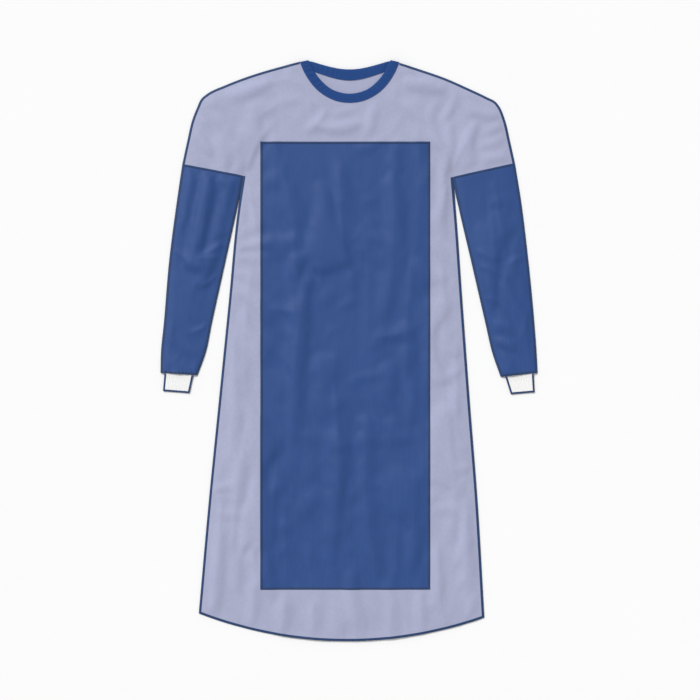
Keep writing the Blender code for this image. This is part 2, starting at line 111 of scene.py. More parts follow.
RIGHT_CUFF = rows_of(Section, (412.0, -50.5, 349.5, -57.4), (414.5, -92.0, 362.0, -96.5))
FRONT_NECK = rows_of(Neck,
    (92.0, 651.5, 111.5, 647.0), (79.0, 626.5, 101.0, 623.0), (66.0, 608.5, 86.0, 599.5),
    (45.0, 589.5, 63.0, 577.0), (23.5, 580.0, 32.5, 561.0), (0.0, 576.5, 0.0, 556.0),
)
BACK_NECK = rows_of(Neck,  # the first row is the tape's end, under the front tape
    (96.5, 649.0, 89.5, 629.0), (90.0, 649.8, 77.0, 624.8), (65.0, 643.0, 64.0, 620.5),
    (40.5, 636.5, 42.5, 613.5), (19.0, 632.5, 21.5, 608.5), (0.0, 631.5, 0.0, 606.5),
)
UNDER_NECK = rows_of(Neck,
    (-95.5, 649.5, -109.0, 646.0), (-91.5, 632.0, -113.5, 627.0), (-81.0, 617.5, -98.0, 602.5),
    (-60.0, 609.0, -67.5, 587.5), (-30.0, 604.5, -32.0, 582.0), (1.0, 603.5, 1.0, 581.0),
    (46.0, 605.5, 47.0, 583.0), (89.7, 610.5, 89.7, 588.0),
)
HEM_CENTRE = (-5.5, 275.5)
HEM_RADIUS = 925.5
PATCH_LEFT = -199.5
PATCH_RIGHT = 180.0
PATCH_TOP = 468.5
PATCH_BOTTOM = -534.0

# Cuffs: a rib on each face of the knit
CUFF_INSET = 10.0
CUFF_SETTLE = 13.0  # past the sleeve the cuff comes down to the floor in this length
CUFF_TRIM = 0.6  # room for the thread round its end
CUFF_LIFT = 0.35  # and for the thread under it
CUFF_LIFT_SIDE = (3.4, 5.4)
CUFF_LIFT_HEM = (6.0, 3.5)
CUFF_RINGS = 34
KNIT_WALL = 0.8
KNIT_DROP = 0.1
RIB_PITCH = 4.0
RIB_RISE = 0.55
RIB_STEPS = 6
RIB_ROUND = 0.7
UNDER_RIB = 0.6  # the lower face's ribs are flatter
HELD_RIB = 0.35  # and inside the sleeve both are
HEM_STRETCH = 0.25  # ribs are flatter by this share at the cuff's hem
HEM_STRETCH_REACH = 9.0

# Binding and ties
TUCK_LENGTH = 16.0  # the back tape's ends are pressed down under the front tape
TUCK_DEPTH = 1.2
TAPE_WALL = 0.6
TAPE_SHARES = (1.0, 0.8, 0.55, 0.3, 0.15)
TAPE_ANGLES = np.radians((-60.0, -30.0, 0.0, 30.0, 60.0))
TAPE_SWELL = 0.22
TAPE_RAISE = 0.1  # clearances of the folded tape under and over its cloth
TAPE_LOWER = 0.35
PUCKER = 0.4  # small waves in its leaves, which sway and differ along it
PUCKER_PITCH = 1.7
PUCKER_SWAY = 1.9
PUCKER_SWAY_LENGTH = 13.0
PUCKER_UNEVEN = 0.4
PUCKER_LENGTH = 23.0
PUCKER_REACH = 1.1
THIN_WALL = 0.4  # the lower back's tape
THIN_LOW = 0.02
THIN_TOP = 1.75
THIN_BEND = 0.9  # its rounded fold
THIN_CORNER = (0.25, 0.3)
TIE_WIDTH = 22.0
TIE_INSET = 14.0  # from the back's free edge
TIE_STEP = 8.0
TIE_LIFT = 0.15
TIE_COLUMNS = 5
WAIST_TIE = (130.0, -545.0)
NECK_TIE = (560.0, 200.0)

# Edges sharper than these, in degrees, stay sharp
CLOTH_SHARP = 40.0
TAPE_SHARP = 50.0
THREAD_SHARP = 75.0
STITCH_SHARP = 80.0

# Spacing of points
FINE = 4.0
NECK_STEP = 2.0
FRONT_GRID = 4.8
PATCH_GRID = 4.4
BACK_GRID = 7.0
SLEEVE_GRID = 4.0
FAR_STEP = 14.0  # spacing of the lines that distances are measured to
CORNER_TURN = math.radians(22.0)
RIM_CLEAR = 0.62  # of the grid, free of points inside an outline
CUT_EXACT = 1e-4

# Creases in the front and the sleeves: a soft ridge from start to end, bowed at its middle
Crease = namedtuple("Crease", "start_x start_y end_x end_y bow width height")
FRONT_CREASES = rows_of(Crease,
    # from the left underarm
    (-232, 398, -152, 530, 12, 9, 4.4), (-238, 402, -296, 520, -9, 11, 3.7),
    (-228, 372, -212, 215, 7, 8, 3.3), (-240, 360, -262, 130, -8, 11, 4.2),
    # from the right underarm
    (224, 396, 160, 512, -14, 10, 3.9), (232, 402, 284, 498, 7, 10, 4.4),
    (221, 380, 199, 250, -6, 9, 3.0), (232, 352, 247, 96, 9, 12, 3.9),
    # across the shoulders and the chest
    (-128, 612, -300, 540, -13, 17, 3.0), (-150, 566, -262, 505, 9, 12, 2.1),
    (132, 606, 288, 528, 15, 16, 2.6), (118, 560, 226, 480, -8, 12, 2.3),
    (-52, 545, -98, 486, 5, 9, 2.3), (38, 540, 66, 484, -4, 8, 1.9),
    (-96, 512, 40, 500, -9, 13, 1.6),
    # down the left of the reinforcement
    (-218, 210, -232, -140, -10, 13, 2.8), (-262, 60, -276, -330, 9, 15, 3.9),
    (-224, -150, -262, -560, -13, 15, 4.4), (-288, -300, -312, -600, 6, 13, 4.0),
    (-214, -430, -226, -648, 5, 11, 3.1),
    # down the right of it
    (202, 230, 206, -60, 8, 12, 2.6), (240, 30, 252, -280, -7, 13, 3.3),
    (208, -90, 232, -480, 12, 15, 4.5), (262, -320, 276, -610, -6, 13, 3.9),
    (198, -420, 214, -645, -6, 11, 3.0),
    # below it, running out at the hem
    (-150, -545, -158, -662, 4, 13, 3.1), (-82, -556, -78, -668, -3, 10, 2.1),
    (6, -540, 12, -672, 5, 14, 3.0), (92, -552, 98, -664, -4, 11, 2.4),
    (152, -540, 164, -656, 4, 12, 2.8),
    # under the reinforcement, and with it
    (-158, 440, -128, 40, 20, 22, 3.3), (-92, 180, -122, -330, -18, 24, 3.9),
    (-22, 452, 18, 90, -14, 20, 2.6), (-36, -20, -58, -505, 16, 22, 3.5),
    (96, 420, 58, -30, 18, 22, 3.1), (144, 250, 132, -210, -10, 18, 3.0),
    (40, -120, 62, -520, -15, 23, 3.9), (142, -270, 128, -525, 8, 17, 2.8),
    (-162, -250, -170, -520, -7, 16, 2.8), (-190, 92, -76, 66, 9, 13, 2.1),
    (52, 30, 170, 62, -8, 12, 2.3), (-60, -226, 46, -208, 7, 14, 1.8),
    # left sleeve
    (-312, 396, -352, 96, -11, 15, 3.0), (-284, 244, -352, 214, 7, 8, 3.1),
    (-290, 208, -368, 196, -6, 9, 3.7), (-296, 174, -346, 140, 5, 7, 2.6),
    (-398, 230, -346, 174, 5, 9, 2.4), (-318, 60, -372, 40, 5, 8, 2.3),
    (-408, 66, -384, -8, -4, 9, 2.1),
    # right sleeve
    (318, 392, 346, 118, 12, 15, 2.8), (282, 226, 352, 206, -6, 9, 3.5),
    (290, 190, 362, 152, 6, 8, 3.1), (394, 214, 348, 182, -5, 8, 2.3),
    (300, 120, 348, 92, 5, 8, 2.4), (400, 96, 372, 10, 6, 10, 2.4),
)
# Creases in the back, which lift all the cloth above them a little
BACK_CREASES = rows_of(Crease,
    (-170, 560, -200, 120, 16, 24, 1.7), (-120, 330, -96, -240, -18, 26, 1.8),
    (-216, 40, -262, -520, -14, 22, 2.0), (-40, 480, -16, 60, 12, 22, 1.4),
    (-30, -90, -52, -600, 15, 26, 2.0), (46, 260, 70, -220, -14, 24, 1.7),
    (150, 520, 128, 60, 15, 22, 1.5), (168, -40, 190, -580, -14, 24, 2.0),
    (104, -300, 96, -610, 8, 20, 1.7), (-150, -330, -146, -620, 7, 20, 1.7),
    (-322, 330, -368, 60, 8, 14, 1.2), (316, 320, 362, 40, -8, 14, 1.2),
)
CREST = 0.24  # roundness of a crease's crest, as a share of its width
LEAN = 0.22  # one flank of a crease is wider than the other
FLANK = 1.7  # how fast a flank falls
START_WIDTH = 0.75  # a crease widens along its length
WIDENING = 0.5
CREASE_START = (-0.04, 0.22)  # shares of its length in which a crease rises
CREASE_END = (0.45, 1.04)  # and dies away
HOLLOW_PLACE = 2.3  # a shallow hollow beside each flank, in widths
HOLLOW_WIDTH = 1.2
HOLLOW_DEPTH = 0.25
CREASE_FADE = 22.0  # creases die away this near to a closed seam
NECK_FADE = (3.0, 34.0)  # and this near to the neck binding
PLACED_SHARE = 0.75  # of these creases' height, beside what the settled cloth adds
SETTLED_SHARE = 0.85
SETTLED_FADE = 8.0
LIFT_LIMIT = 7.5
DROP_LIMIT = 0.35  # the front sinks no lower than this, and half the puff
SWELL = 0.9  # slow rise and fall of the cloth between its creases
CRUMPLE = 0.6  # small irregular wrinkles
EDGE_RIPPLE = 0.4  # share of the back's creases that runs out through a sewn edge
EDGE_RIPPLE_START = 4.0

# Gathers where a sleeve narrows to its cuff
SLEEVE_X = 300.0  # sleeves lie farther out than this
GATHER_PITCH = 9.5
GATHER_LENGTH = 46.0
GATHER_HEIGHT = 0.9
GATHER_FADE = 9.0
GATHER_BELOW = -4.0
GATHER_FALL = 2.2
GATHER_SHIFT = 1.75  # they sway by this, over these lengths up the arm and across it
GATHER_SWAY = (21.0, 7.0)
GATHER_UNEVEN = (0.45, 0.19)  # share by which they differ in height, and how fast
GATHER_RAGGED = (0.3, 0.31)  # and in length

# Smooth noise: size of its features, and seed
Field = namedtuple("Field", "size_x size_y seed")
WRINKLE_FIELDS = (Field(46.0, 88.0, 3.1), Field(31.0, 54.0, 8.7))
WRINKLE_PATCHES = Field(170.0, 210.0, 5.3)
WRINKLE_TURN = ((0.83, -0.56), (0.56, 0.83))
WRINKLE_SHARPNESS = 4.0
WRINKLE_FLOOR = -0.6
WRINKLE_SPREAD = (-0.15, 0.45)
WRINKLE_LEAST = 0.35
WRINKLE_SMALL = 0.6  # share of the smaller wrinkles
SHIFT_FIELDS = (Field(110.0, 160.0, 12.3), Field(110.0, 160.0, 27.9))
LOOSE_PATCHES = Field(170.0, 230.0, 5.3)
ROUGH_FIELDS = (Field(60.0, 90.0, 41.0), Field(18.0, 25.0, 3.0))
SWELL_FIELD = Field(95.0, 190.0, 1.7)

# How loose the cloth is, and how it settles
SETTLE_GRID = 8.0
SETTLE_STEPS = 120
SETTLE_DAMPING = 0.97
SETTLE_WEIGHT = 0.0005  # drop in one step
SETTLE_ROOM = 0.8  # air under the cloth
SETTLE_TOUCH = 0.15  # cloth this near to what it lies on is gripped by it
SETTLE_GRIP = 0.05
SETTLE_START = 1.2  # share of the placed creases that it starts from
SETTLE_HEIGHT = 0.2
SETTLE_ROUGH = 1.5
SETTLE_FINE = 0.5
CLOTH_STIFFNESS = 0.012
PATCH_STIFFNESS = 0.020
HELD_REACH = (2.0, 14.0)  # cloth is held at its seams and free past this
SEAM_HOLD = 3.0  # the seam between body and sleeve holds a little less
LOOSE_X = 0.010  # the cloth is wider than its place by this share
LOOSE_Y = 0.003
LOOSE_SHIFT = 6.0
LOOSE_SPREAD = (-0.25, 0.4)
LOOSE_RANGE = (0.4, 1.2)  # where the cloth is least loose, and how much more elsewhere
LEAST_LENGTH = 0.999
SLEEVE_CALM = 0.4
HEM_HOLD = 0.15
FIELD_STEP = 4.0
FIELD_BLUR = 3.2
FIELD_MARGIN = 6
LEAST_WEIGHT = 1e-3
WITHIN_LAST = 1.001  # of a cell, just inside the grid's last one
BLUR_CELLS = range(-4, 5)

# Sewing
STITCH_PITCH = 2.1
STITCH_ROWS = 3
STITCH_SLANT = STITCH_PITCH * 0.7
OVERLOCK_WIDTH = 4.9
CUFF_OVERLOCK = 3.6
HEM_INSET = 0.9  # the back's hem stays hidden behind the front's
OVERLOCK_TOP = (1.0, 0.66, 0.33)  # its points on each face, as shares of its width
OVERLOCK_UNDER = (0.5, 0.85)
OVERLOCK_TUCK = 0.9
THREAD_RISE = 0.42  # height of a rib, and its share at the inner edge and underneath
INNER_RIB = 0.25
LOWER_RIB = 0.8
THREAD_OVER = 0.12  # thread's upper face above the cloth
THREAD_UNDER = 0.06  # and its lower face below it
THREAD_REACH = 0.35  # and its edge outside it
THREAD_CLEAR = 0.15  # its upper and lower faces reach past the cloth's edge
LEAST_HEIGHT = 0.02  # and no thread goes lower than this
FRONT_HEM_OVER = 0.04  # a hem's thread lies over the threads that it meets
HEM_OVER = 0.05
HEM_ENDS_INSET = 1.5  # a sleeve's hem thread stops this far inside its folds
CUFF_ENDS_INSET = 0.8
FREE_EDGE_DROP = 6.0  # the right free edge's thread starts this far under its binding
SEAM_OVERRUN = 0.9 * OVERLOCK_WIDTH  # a sleeve seam's thread covers the end of the side's
SLEEVE_LOWER = (0.03, 0.15)  # clearances of the thread round a sleeve's lower layer
KNIT_LOW = 0.06  # and of that round a cuff
KNIT_OVER = 0.04
KNIT_UNDER = 0.1
KNIT_RIB = 0.7  # share of a rib's rise at which it lies
ARM_LOOPS = 0.8  # looser loops fill the narrow gap between sleeve and side
ARM_REACH = (35.0, 70.0)
PATCH_OUTSET = 0.5
SATIN_UPPER = (0.16, 1.0)  # a band's height on an upper face, and share of a rib's rise
SATIN_LOWER = (0.08, 0.7)  # and on a lower one
SATIN_TOP = (0.12, 0.5, 0.88)
SATIN_RIM = 0.02
SATIN_SINK = 0.2
TOPSTITCH_LENGTH = 3.0
TOPSTITCH_PITCH = 4.2
TOPSTITCH_INSET = 2.6
TOPSTITCH_STEP = 0.7
TOPSTITCH_DROP = 0.2
TOPSTITCH_FULL = (0.35, 1.0, 1.0, 0.35)  # its thickness along it
TOPSTITCH_ROUND = 0.6
TOPSTITCH_SINK = 0.1
THREAD_WIDTH = 0.55

# Looks. Colours are linear. A layer varies the colour, and its depth in millimetres is its bump.
Layer = namedtuple("Layer", "bands across along turn scale detail depth")
Look = namedtuple("Look", "name colour spread roughness sheen specular dot_pitch dot_depth layers")
BODY = Look(
    "body_nonwoven", (0.402, 0.425, 0.592), 0.14, 0.82, 0.12, 0.25, 1.5, 0.11,
    rows_of(Layer,
        ("", 420.0, 2600.0, 0.5, 1.0, 2.0, 0.05),  # fibres
        ("", 2400.0, 380.0, 0.35, 1.0, 2.0, 0.05),  # fibres across them
        ("", 1.0, 1.0, 0.0, 150.0, 4.0, 0.09),  # clouds
        ("", 1.0, 0.5, 0.0, 22.0, 3.0, 0.0),  # broad clouds
    ),
)
BARRIER = Look(
    "barrier_laminate", (0.0195, 0.0695, 0.247), 0.16, 0.58, 0.05, 0.4, 1.1, 0.06,
    rows_of(Layer,
        ("", 500.0, 2600.0, 0.4, 1.0, 2.0, 0.03),  # fibres
        ("", 260.0, 14.0, 0.0, 1.0, 3.0, 0.05),  # lengthwise streaks
        ("", 1.0, 0.6, 0.0, 60.0, 4.0, 0.0),  # clouds
    ),
)
TAPE = Look(
    "binding_tape", (0.007, 0.054, 0.222), 0.14, 0.75, 0.1, 0.3, 0.0, 0.0,
    rows_of(Layer,
        ("X", 1.0, 1.0, 0.6, 330.0, 0.6, 0.05),  # diagonal ribs
        ("", 1.0, 1.0, 0.0, 90.0, 4.0, 0.05),  # uneven dye
    ),
)
SPUN = rows_of(Layer,
    ("", 1.0, 1.0, 0.0, 1500.0, 2.0, 0.04),  # strands
    ("", 1.0, 1.0, 0.0, 40.0, 3.0, 0.0),  # uneven dye
)
SEWING = Look("navy_thread", (0.011, 0.043, 0.143), 0.2, 0.6, 0.15, 0.4, 0.0, 0.0, SPUN)
STITCHING = Look("topstitch_thread", (0.045, 0.110, 0.330), 0.2, 0.6, 0.15, 0.4, 0.0, 0.0, SPUN)
KNIT = Look(
    "white_rib_knit", (0.985, 0.985, 0.972), 0.05, 0.9, 0.2, 0.2, 0.0, 0.0,
    rows_of(Layer,
        ("Y", 0.4, 1.0, 0.0, 260.0, 1.2, 0.18),  # rows of loops
        ("", 1.0, 1.0, 0.0, 900.0, 3.0, 0.08),  # fuzz
    ),
)
FLOOR = Look(
    "pale_floor", (0.98, 0.98, 0.98), 0.004, 0.9, 0.0, 0.1, 0.0, 0.0,
    rows_of(Layer, ("", 1.0, 1.0, 0.0, 6.0, 3.0, 0.0)),
)
NOISE_ROUGHNESS = 0.55
SHEEN_ROUGHNESS = 0.5
DOT_EDGE = (0.18, 0.36)
DOT_TURN = math.radians(45.0)
TINT_RANGE = (0.25, 0.75)

# Picture
VIEW_WIDTH = 1569.0  # what the camera sees at the level of CLOTH_TOP
VIEW_MIDDLE = (0.9, 2.2)
LENS = 85.0
SENSOR = 36.0
CLOTH_TOP = 4.0
SUN_ELEVATION = 46.0
SUN_BEARING = -38.0  # from +Y, towards -X
SUN_STRENGTH = 2.15
SUN_ANGLE = 16.0
SKY_STRENGTH = 0.50
FLOOR_SIZE = 60.0
FLOOR_DROP = 0.3


# Lines and distances


def smoothstep(low, high, value):
    share = np.clip((value - low) / (high - low), 0.0, 1.0)
    return share * share * (3.0 - 2.0 * share)


def length(vectors):
    return np.linalg.norm(vectors, axis=-1)


def unit(vectors):
    return vectors / length(vectors)[..., None]


def two_points(row):
    """The two points of a table's row."""
    return np.array(row[:4], float).reshape(2, 2)


def steps_of(line):
    return length(np.diff(line, axis=0))


def places_of(line):
    """Distance along a line to each of its points."""
    return np.concatenate([[0.0], np.cumsum(steps_of(line))])


def points_at(line, places, wanted):
    """Points at the wanted places of a line whose own points are at places."""
    return np.stack([np.interp(wanted, places, axis) for axis in line.T], axis=1)


def smooth_curve(points, step=FINE):
    """Points about step apart on one smooth curve through the given ones."""
    points = np.array(points, float)
    spans = steps_of(points)
    slopes = np.diff(points, axis=0) / spans[:, None]
    before, after = spans[:-1, None], spans[1:, None]
    inner = (slopes[:-1] * after + slopes[1:] * before) / (before + after)
    tangents = np.vstack([slopes[:1], inner, slopes[-1:]])
    curve = []
    for i, span in enumerate(spans):
        count = max(1, round(span / step))
        t = np.arange(count)[:, None] / count
        curve.append(
            points[i] * (2 * t**3 - 3 * t**2 + 1)
            + tangents[i] * span * (t**3 - 2 * t**2 + t)
            + points[i + 1] * (3 * t**2 - 2 * t**3)
            + tangents[i + 1] * span * (t**3 - t**2)
        )
    return np.vstack([*curve, points[-1:]])


def evenly(line, step):
    """The same line with its points about step apart along it, both ends kept."""
    line = np.array(line, float)
    places = places_of(line)
    count = max(2, round(places[-1] / step) + 1)
    return points_at(line, places, np.linspace(0.0, places[-1], count))


def line_distance(xy, line):
    """Distance in plan from each point to the nearest place on a line."""
    nearest = np.full(len(xy), np.inf)
    for a, b in zip(line[:-1, :2], line[1:, :2]):
        span = b - a
        share = np.clip(((xy - a) @ span) / (span @ span), 0.0, 1.0)
        nearest = np.minimum(nearest, length(xy - a - share[:, None] * span))
    return nearest


def inside(xy, polygon):
    """True for each point that is in the polygon, by counting edges to its right."""
    odd = np.zeros(len(xy), bool)
    x, y = xy.T
    for a, b in zip(polygon, np.roll(polygon, -1, axis=0)):
        crossed = (a[1] > y) != (b[1] > y)
        if crossed.any():
            cut = a[0] + (y - a[1]) / (b[1] - a[1]) * (b[0] - a[0])
            odd ^= crossed & (x < cut)
    return odd


def signed_area(outline):
    """Twice the area in an outline, positive where it runs anticlockwise."""
    x, y = outline.T
    return x @ np.roll(y, -1) - y @ np.roll(x, -1)


def joined(*lines):
    """Lines that follow one another, each from the last one's end, as one."""
    return np.vstack([lines[0], *(line[1:] for line in lines[1:])])


def between(first, second):
    """Outline of what lies between two lines that run the same way."""
    return np.vstack([first, second[::-1]])


def edge_curve(rows, side):
    return smooth_curve([(getattr(row, side + "_x"), getattr(row, side + "_y")) for row in rows])


def hem_line(start_x, end_x):
    count = max(2, round(abs(end_x - start_x) / FINE) + 1)
    x = np.linspace(start_x, end_x, count)
    y = HEM_CENTRE[1] - np.sqrt(HEM_RADIUS**2 - (x - HEM_CENTRE[0]) ** 2)
    return np.stack([x, y], axis=1)


def mirrored(rows):
    left = [Neck(-row.edge_x, row.edge_y, -row.leaf_x, row.leaf_y) for row in rows]
    return left + list(rows[-2::-1])


def neck_sections(rows):
    """Finished edge and leaf edge, evenly along a neckline, as one array each."""
    both = evenly(smooth_curve(rows, NECK_STEP), NECK_STEP)
    return both[:, :2], both[:, 2:]


def held_edge(sections):
    """Where the cloth ends inside its binding."""
    edge, leaf = sections
    return edge + unit(leaf - edge) * LEVEL


LEFT_SHOULDER, RIGHT_SHOULDER = (edge_curve(SHOULDER, side) for side in ("left", "right"))
LEFT_SIDE, RIGHT_SIDE = (edge_curve(SIDE, side) for side in ("left", "right"))
LEFT_SEAM = evenly([LEFT_SHOULDER[-1], LEFT_SIDE[0]], FINE)
RIGHT_SEAM = evenly([RIGHT_SHOULDER[-1], RIGHT_SIDE[0]], FINE)
HEM_ENDS = (LEFT_SIDE[-1, 0], -FREE_EDGE, FREE_EDGE, RIGHT_SIDE[-1, 0])
HEM_PARTS = [hem_line(*ends) for ends in zip(HEM_ENDS[:-1], HEM_ENDS[1:])]
HEM = joined(*HEM_PARTS)
LEFT_HEM = joined(*HEM_PARTS[:2])
RIGHT_HEM = joined(*HEM_PARTS[1:])
DOWN_LEFT = joined(LEFT_SHOULDER, LEFT_SEAM, LEFT_SIDE)[:-1]
UP_RIGHT = joined(RIGHT_SHOULDER, RIGHT_SEAM, RIGHT_SIDE)[-2::-1]

FRONT_BINDING = neck_sections(mirrored(FRONT_NECK))
BACK_BINDING = neck_sections(mirrored(BACK_NECK))
UNDER_BINDING = neck_sections(UNDER_NECK)
BACK_HELD = held_edge(BACK_BINDING)
UNDER_HELD = held_edge(UNDER_BINDING)
FRONT_OUTLINE = np.vstack([DOWN_LEFT, HEM, UP_RIGHT, held_edge(FRONT_BINDING)[::-1]])
BACK_LEFT_OUTLINE = np.vstack(
    [DOWN_LEFT, LEFT_HEM, (FREE_EDGE, UNDER_HELD[-1, 1]), UNDER_HELD[-2::-1]]
)
BACK_RIGHT_OUTLINE = np.vstack(
    [RIGHT_HEM, UP_RIGHT, BACK_HELD[:0:-1], (-FREE_EDGE, BACK_HELD[0, 1])]
)
PATCH_OUTLINE = np.array([
    (PATCH_LEFT, PATCH_TOP), (PATCH_LEFT, PATCH_BOTTOM),
    (PATCH_RIGHT, PATCH_BOTTOM), (PATCH_RIGHT, PATCH_TOP),
])

Sleeve = namedtuple("Sleeve", "side sections outer inner seam cuff")
SLEEVES = tuple(
    Sleeve(side, [two_points(row) for row in rows], edge_curve(rows, "outer"),
           edge_curve(rows, "inner"), seam, [two_points(row) for row in cuff])
    for side, rows, seam, cuff in (
        ("left", LEFT_SLEEVE, LEFT_SEAM, LEFT_CUFF),
        ("right", RIGHT_SLEEVE, RIGHT_SEAM, RIGHT_CUFF),
    )
)
WRISTS = [arm.sections[-1] for arm in SLEEVES]
SEWN_SIDES = (LEFT_SHOULDER, RIGHT_SHOULDER, LEFT_SIDE, RIGHT_SIDE)
SLEEVE_EDGES = [edge for arm in SLEEVES for edge in (arm.outer, arm.inner)]
SEWN_FAR = [evenly(line, FAR_STEP) for line in (*SEWN_SIDES, *SLEEVE_EDGES)]
HEM_FAR = evenly(HEM, FAR_STEP)
NECK_FAR = evenly(FRONT_BINDING[1], FAR_STEP)
UNDER_FAR = evenly(UNDER_BINDING[0], FAR_STEP)


def seam_distance(xy):
    return np.min([line_distance(xy, line) for line in SEWN_FAR], axis=0)


def arm_seam_distance(xy):
    return np.minimum(line_distance(xy, LEFT_SEAM), line_distance(xy, RIGHT_SEAM))


def edge_distance(xy):
    return np.minimum(seam_distance(xy), line_distance(xy, HEM_FAR))


def neck_distance(xy):
    """Distance outside the front's neck binding, and none under it."""
    return np.where(inside(xy, NECK_FAR), 0.0, line_distance(xy, NECK_FAR))


def thread_distance(xy):
    """Distance to the nearest line that is sewn through the back or a sleeve's underside."""
    wrists = [line_distance(xy, wrist) for wrist in WRISTS]
    free_edge = np.abs(xy[:, 0] - FREE_EDGE)
    return np.min([edge_distance(xy), arm_seam_distance(xy), *wrists, free_edge], axis=0)


def corners_kept(outline, step):
    """An outline again, with points about step apart and its corners kept."""
    count = len(outline)
    back = unit(outline - np.roll(outline, 1, axis=0))
    ahead = unit(np.roll(outline, -1, axis=0) - outline)
    turns = np.flatnonzero(np.sum(back * ahead, axis=1) < math.cos(CORNER_TURN)).tolist()
    parts = []
    for here, there in zip(turns, turns[1:] + [turns[0] + count]):
        stretch = outline[np.arange(here, there + 1) % count]
        parts.append(evenly(stretch, step)[:-1])
    return np.vstack(parts)


def cut_cloth(outline, grid):
    """Points and triangles that fill an outline, evenly, about grid apart."""
    outline = corners_kept(outline, grid)
    low, high = outline.min(axis=0), outline.max(axis=0)
    rows = grid * math.sqrt(0.75)
    xs = np.arange(low[0] + grid / 2.0, high[0], grid)
    ys = np.arange(low[1] + rows, high[1], rows)
    field = np.vstack([
        np.column_stack([xs + grid / 2.0 * (k % 2), np.full(len(xs), y)]) for k, y in enumerate(ys)
    ])
    field = field[inside(field, outline)]
    closed = np.vstack([outline, outline[:1]])
    field = field[line_distance(field, closed) > RIM_CLEAR * grid]
    count = len(outline)
    edges = [(k, (k + 1) % count) for k in range(count)]
    points = [Vector(point) for point in np.vstack([outline, field])]
    cut = delaunay_2d_cdt(points, edges, [], 1, CUT_EXACT)
    return np.array([tuple(point) for point in cut[0]]), np.array(cut[2])


def sides_of(triangles):
    return np.vstack([triangles[:, [0, 1]], triangles[:, [1, 2]], triangles[:, [2, 0]]])


# Creases and heights


def crease_lift(xy, creases):
    """The ridges of a table of creases, each with shallow hollows along it."""
    lift = np.zeros(len(xy))
    for crease in creases:
        start, end = two_points(crease)
        span = end - start
        along = (xy - start) @ span / length(span)
        across = (xy - start) @ np.array((-span[1], span[0])) / length(span)
        share = along / length(span)
        within = np.clip(share, 0.0, 1.0)
        bowed = across - crease.bow * np.sin(np.pi * within)
        width = crease.width * (START_WIDTH + WIDENING * within)
        width = width * np.where(bowed > 0.0, 1.0 + LEAN, 1.0 - LEAN)
        fade = smoothstep(*CREASE_START, share) * (1.0 - smoothstep(*CREASE_END, share))
        ridge = np.exp(-(np.hypot(bowed / width, CREST) - CREST) * FLANK)
        hollow = np.exp(-(((np.abs(bowed) - HOLLOW_PLACE * width) / (HOLLOW_WIDTH * width)) ** 2))
        lift += crease.height * fade * (ridge - HOLLOW_DEPTH * hollow)
    return lift


def uneven(share, phase):
    """A factor that swings between 1 and 1 less twice the share."""
    return 1.0 - share + share * np.sin(phase)


def smooth_noise(xy, field):
    size_x, size_y, seed = field
    return np.array([noise.noise(Vector((x / size_x, y / size_y, seed))) for x, y in xy])


def wrinkles(xy):
    """Small ridged wrinkles, as light stiff cloth takes when it is handled."""
    ridges = [
        np.maximum(1.0 - np.abs(smooth_noise(place, field)) * WRINKLE_SHARPNESS, WRINKLE_FLOOR)
        for place, field in zip((xy @ np.array(WRINKLE_TURN), xy), WRINKLE_FIELDS)
    ]
    patchy = smoothstep(*WRINKLE_SPREAD, smooth_noise(xy, WRINKLE_PATCHES))
    share = WRINKLE_LEAST + (1.0 - WRINKLE_LEAST) * patchy
    return (ridges[0] + WRINKLE_SMALL * ridges[1]) * share


def settling_cloth():
    """Plan, mesh edges and freedom of the front and of the sleeves' tops."""
    outlines = [FRONT_OUTLINE]
    for arm in SLEEVES:
        outline = between(arm.outer, arm.inner)
        outlines.append(outline if signed_area(outline) > 0.0 else outline[::-1])
    cut = [cut_cloth(outline, SETTLE_GRID) for outline in outlines]
    plan = np.vstack([points for points, _ in cut])
    first = np.cumsum([0] + [len(points) for points, _ in cut])
    triangles = np.vstack([faces + start for (_, faces), start in zip(cut, first)])
    edges = np.unique(np.sort(sides_of(triangles), axis=1), axis=0)
    held = [seam_distance(plan), arm_seam_distance(plan) + SEAM_HOLD, neck_distance(plan)]
    free = smoothstep(*HELD_REACH, np.min(held, axis=0))
    return plan, edges, free, smoothstep(*HELD_REACH, line_distance(plan, HEM_FAR))


def loose_lengths(plan, edges):
    """Each edge's own length: the cloth is a little larger than its place, unevenly."""
    first, second = edges.T
    shift_x, shift_y = (LOOSE_SHIFT * smooth_noise(plan, field) for field in SHIFT_FIELDS)
    patchy = smooth_noise(plan, LOOSE_PATCHES)
    share = smoothstep(*LOOSE_SPREAD, (patchy[first] + patchy[second]) / 2.0)
    share = LOOSE_RANGE[0] + LOOSE_RANGE[1] * share
    share *= 1.0 - SLEEVE_CALM * (np.abs(plan[first, 0]) > SLEEVE_X)
    span = plan[second] - plan[first]
    along_x = span[:, 0] * (1.0 + LOOSE_X * share) + shift_x[second] - shift_x[first]
    along_y = span[:, 1] * (1.0 + LOOSE_Y * share) + shift_y[second] - shift_y[first]
    return np.maximum(np.hypot(along_x, along_y), LEAST_LENGTH * length(span))


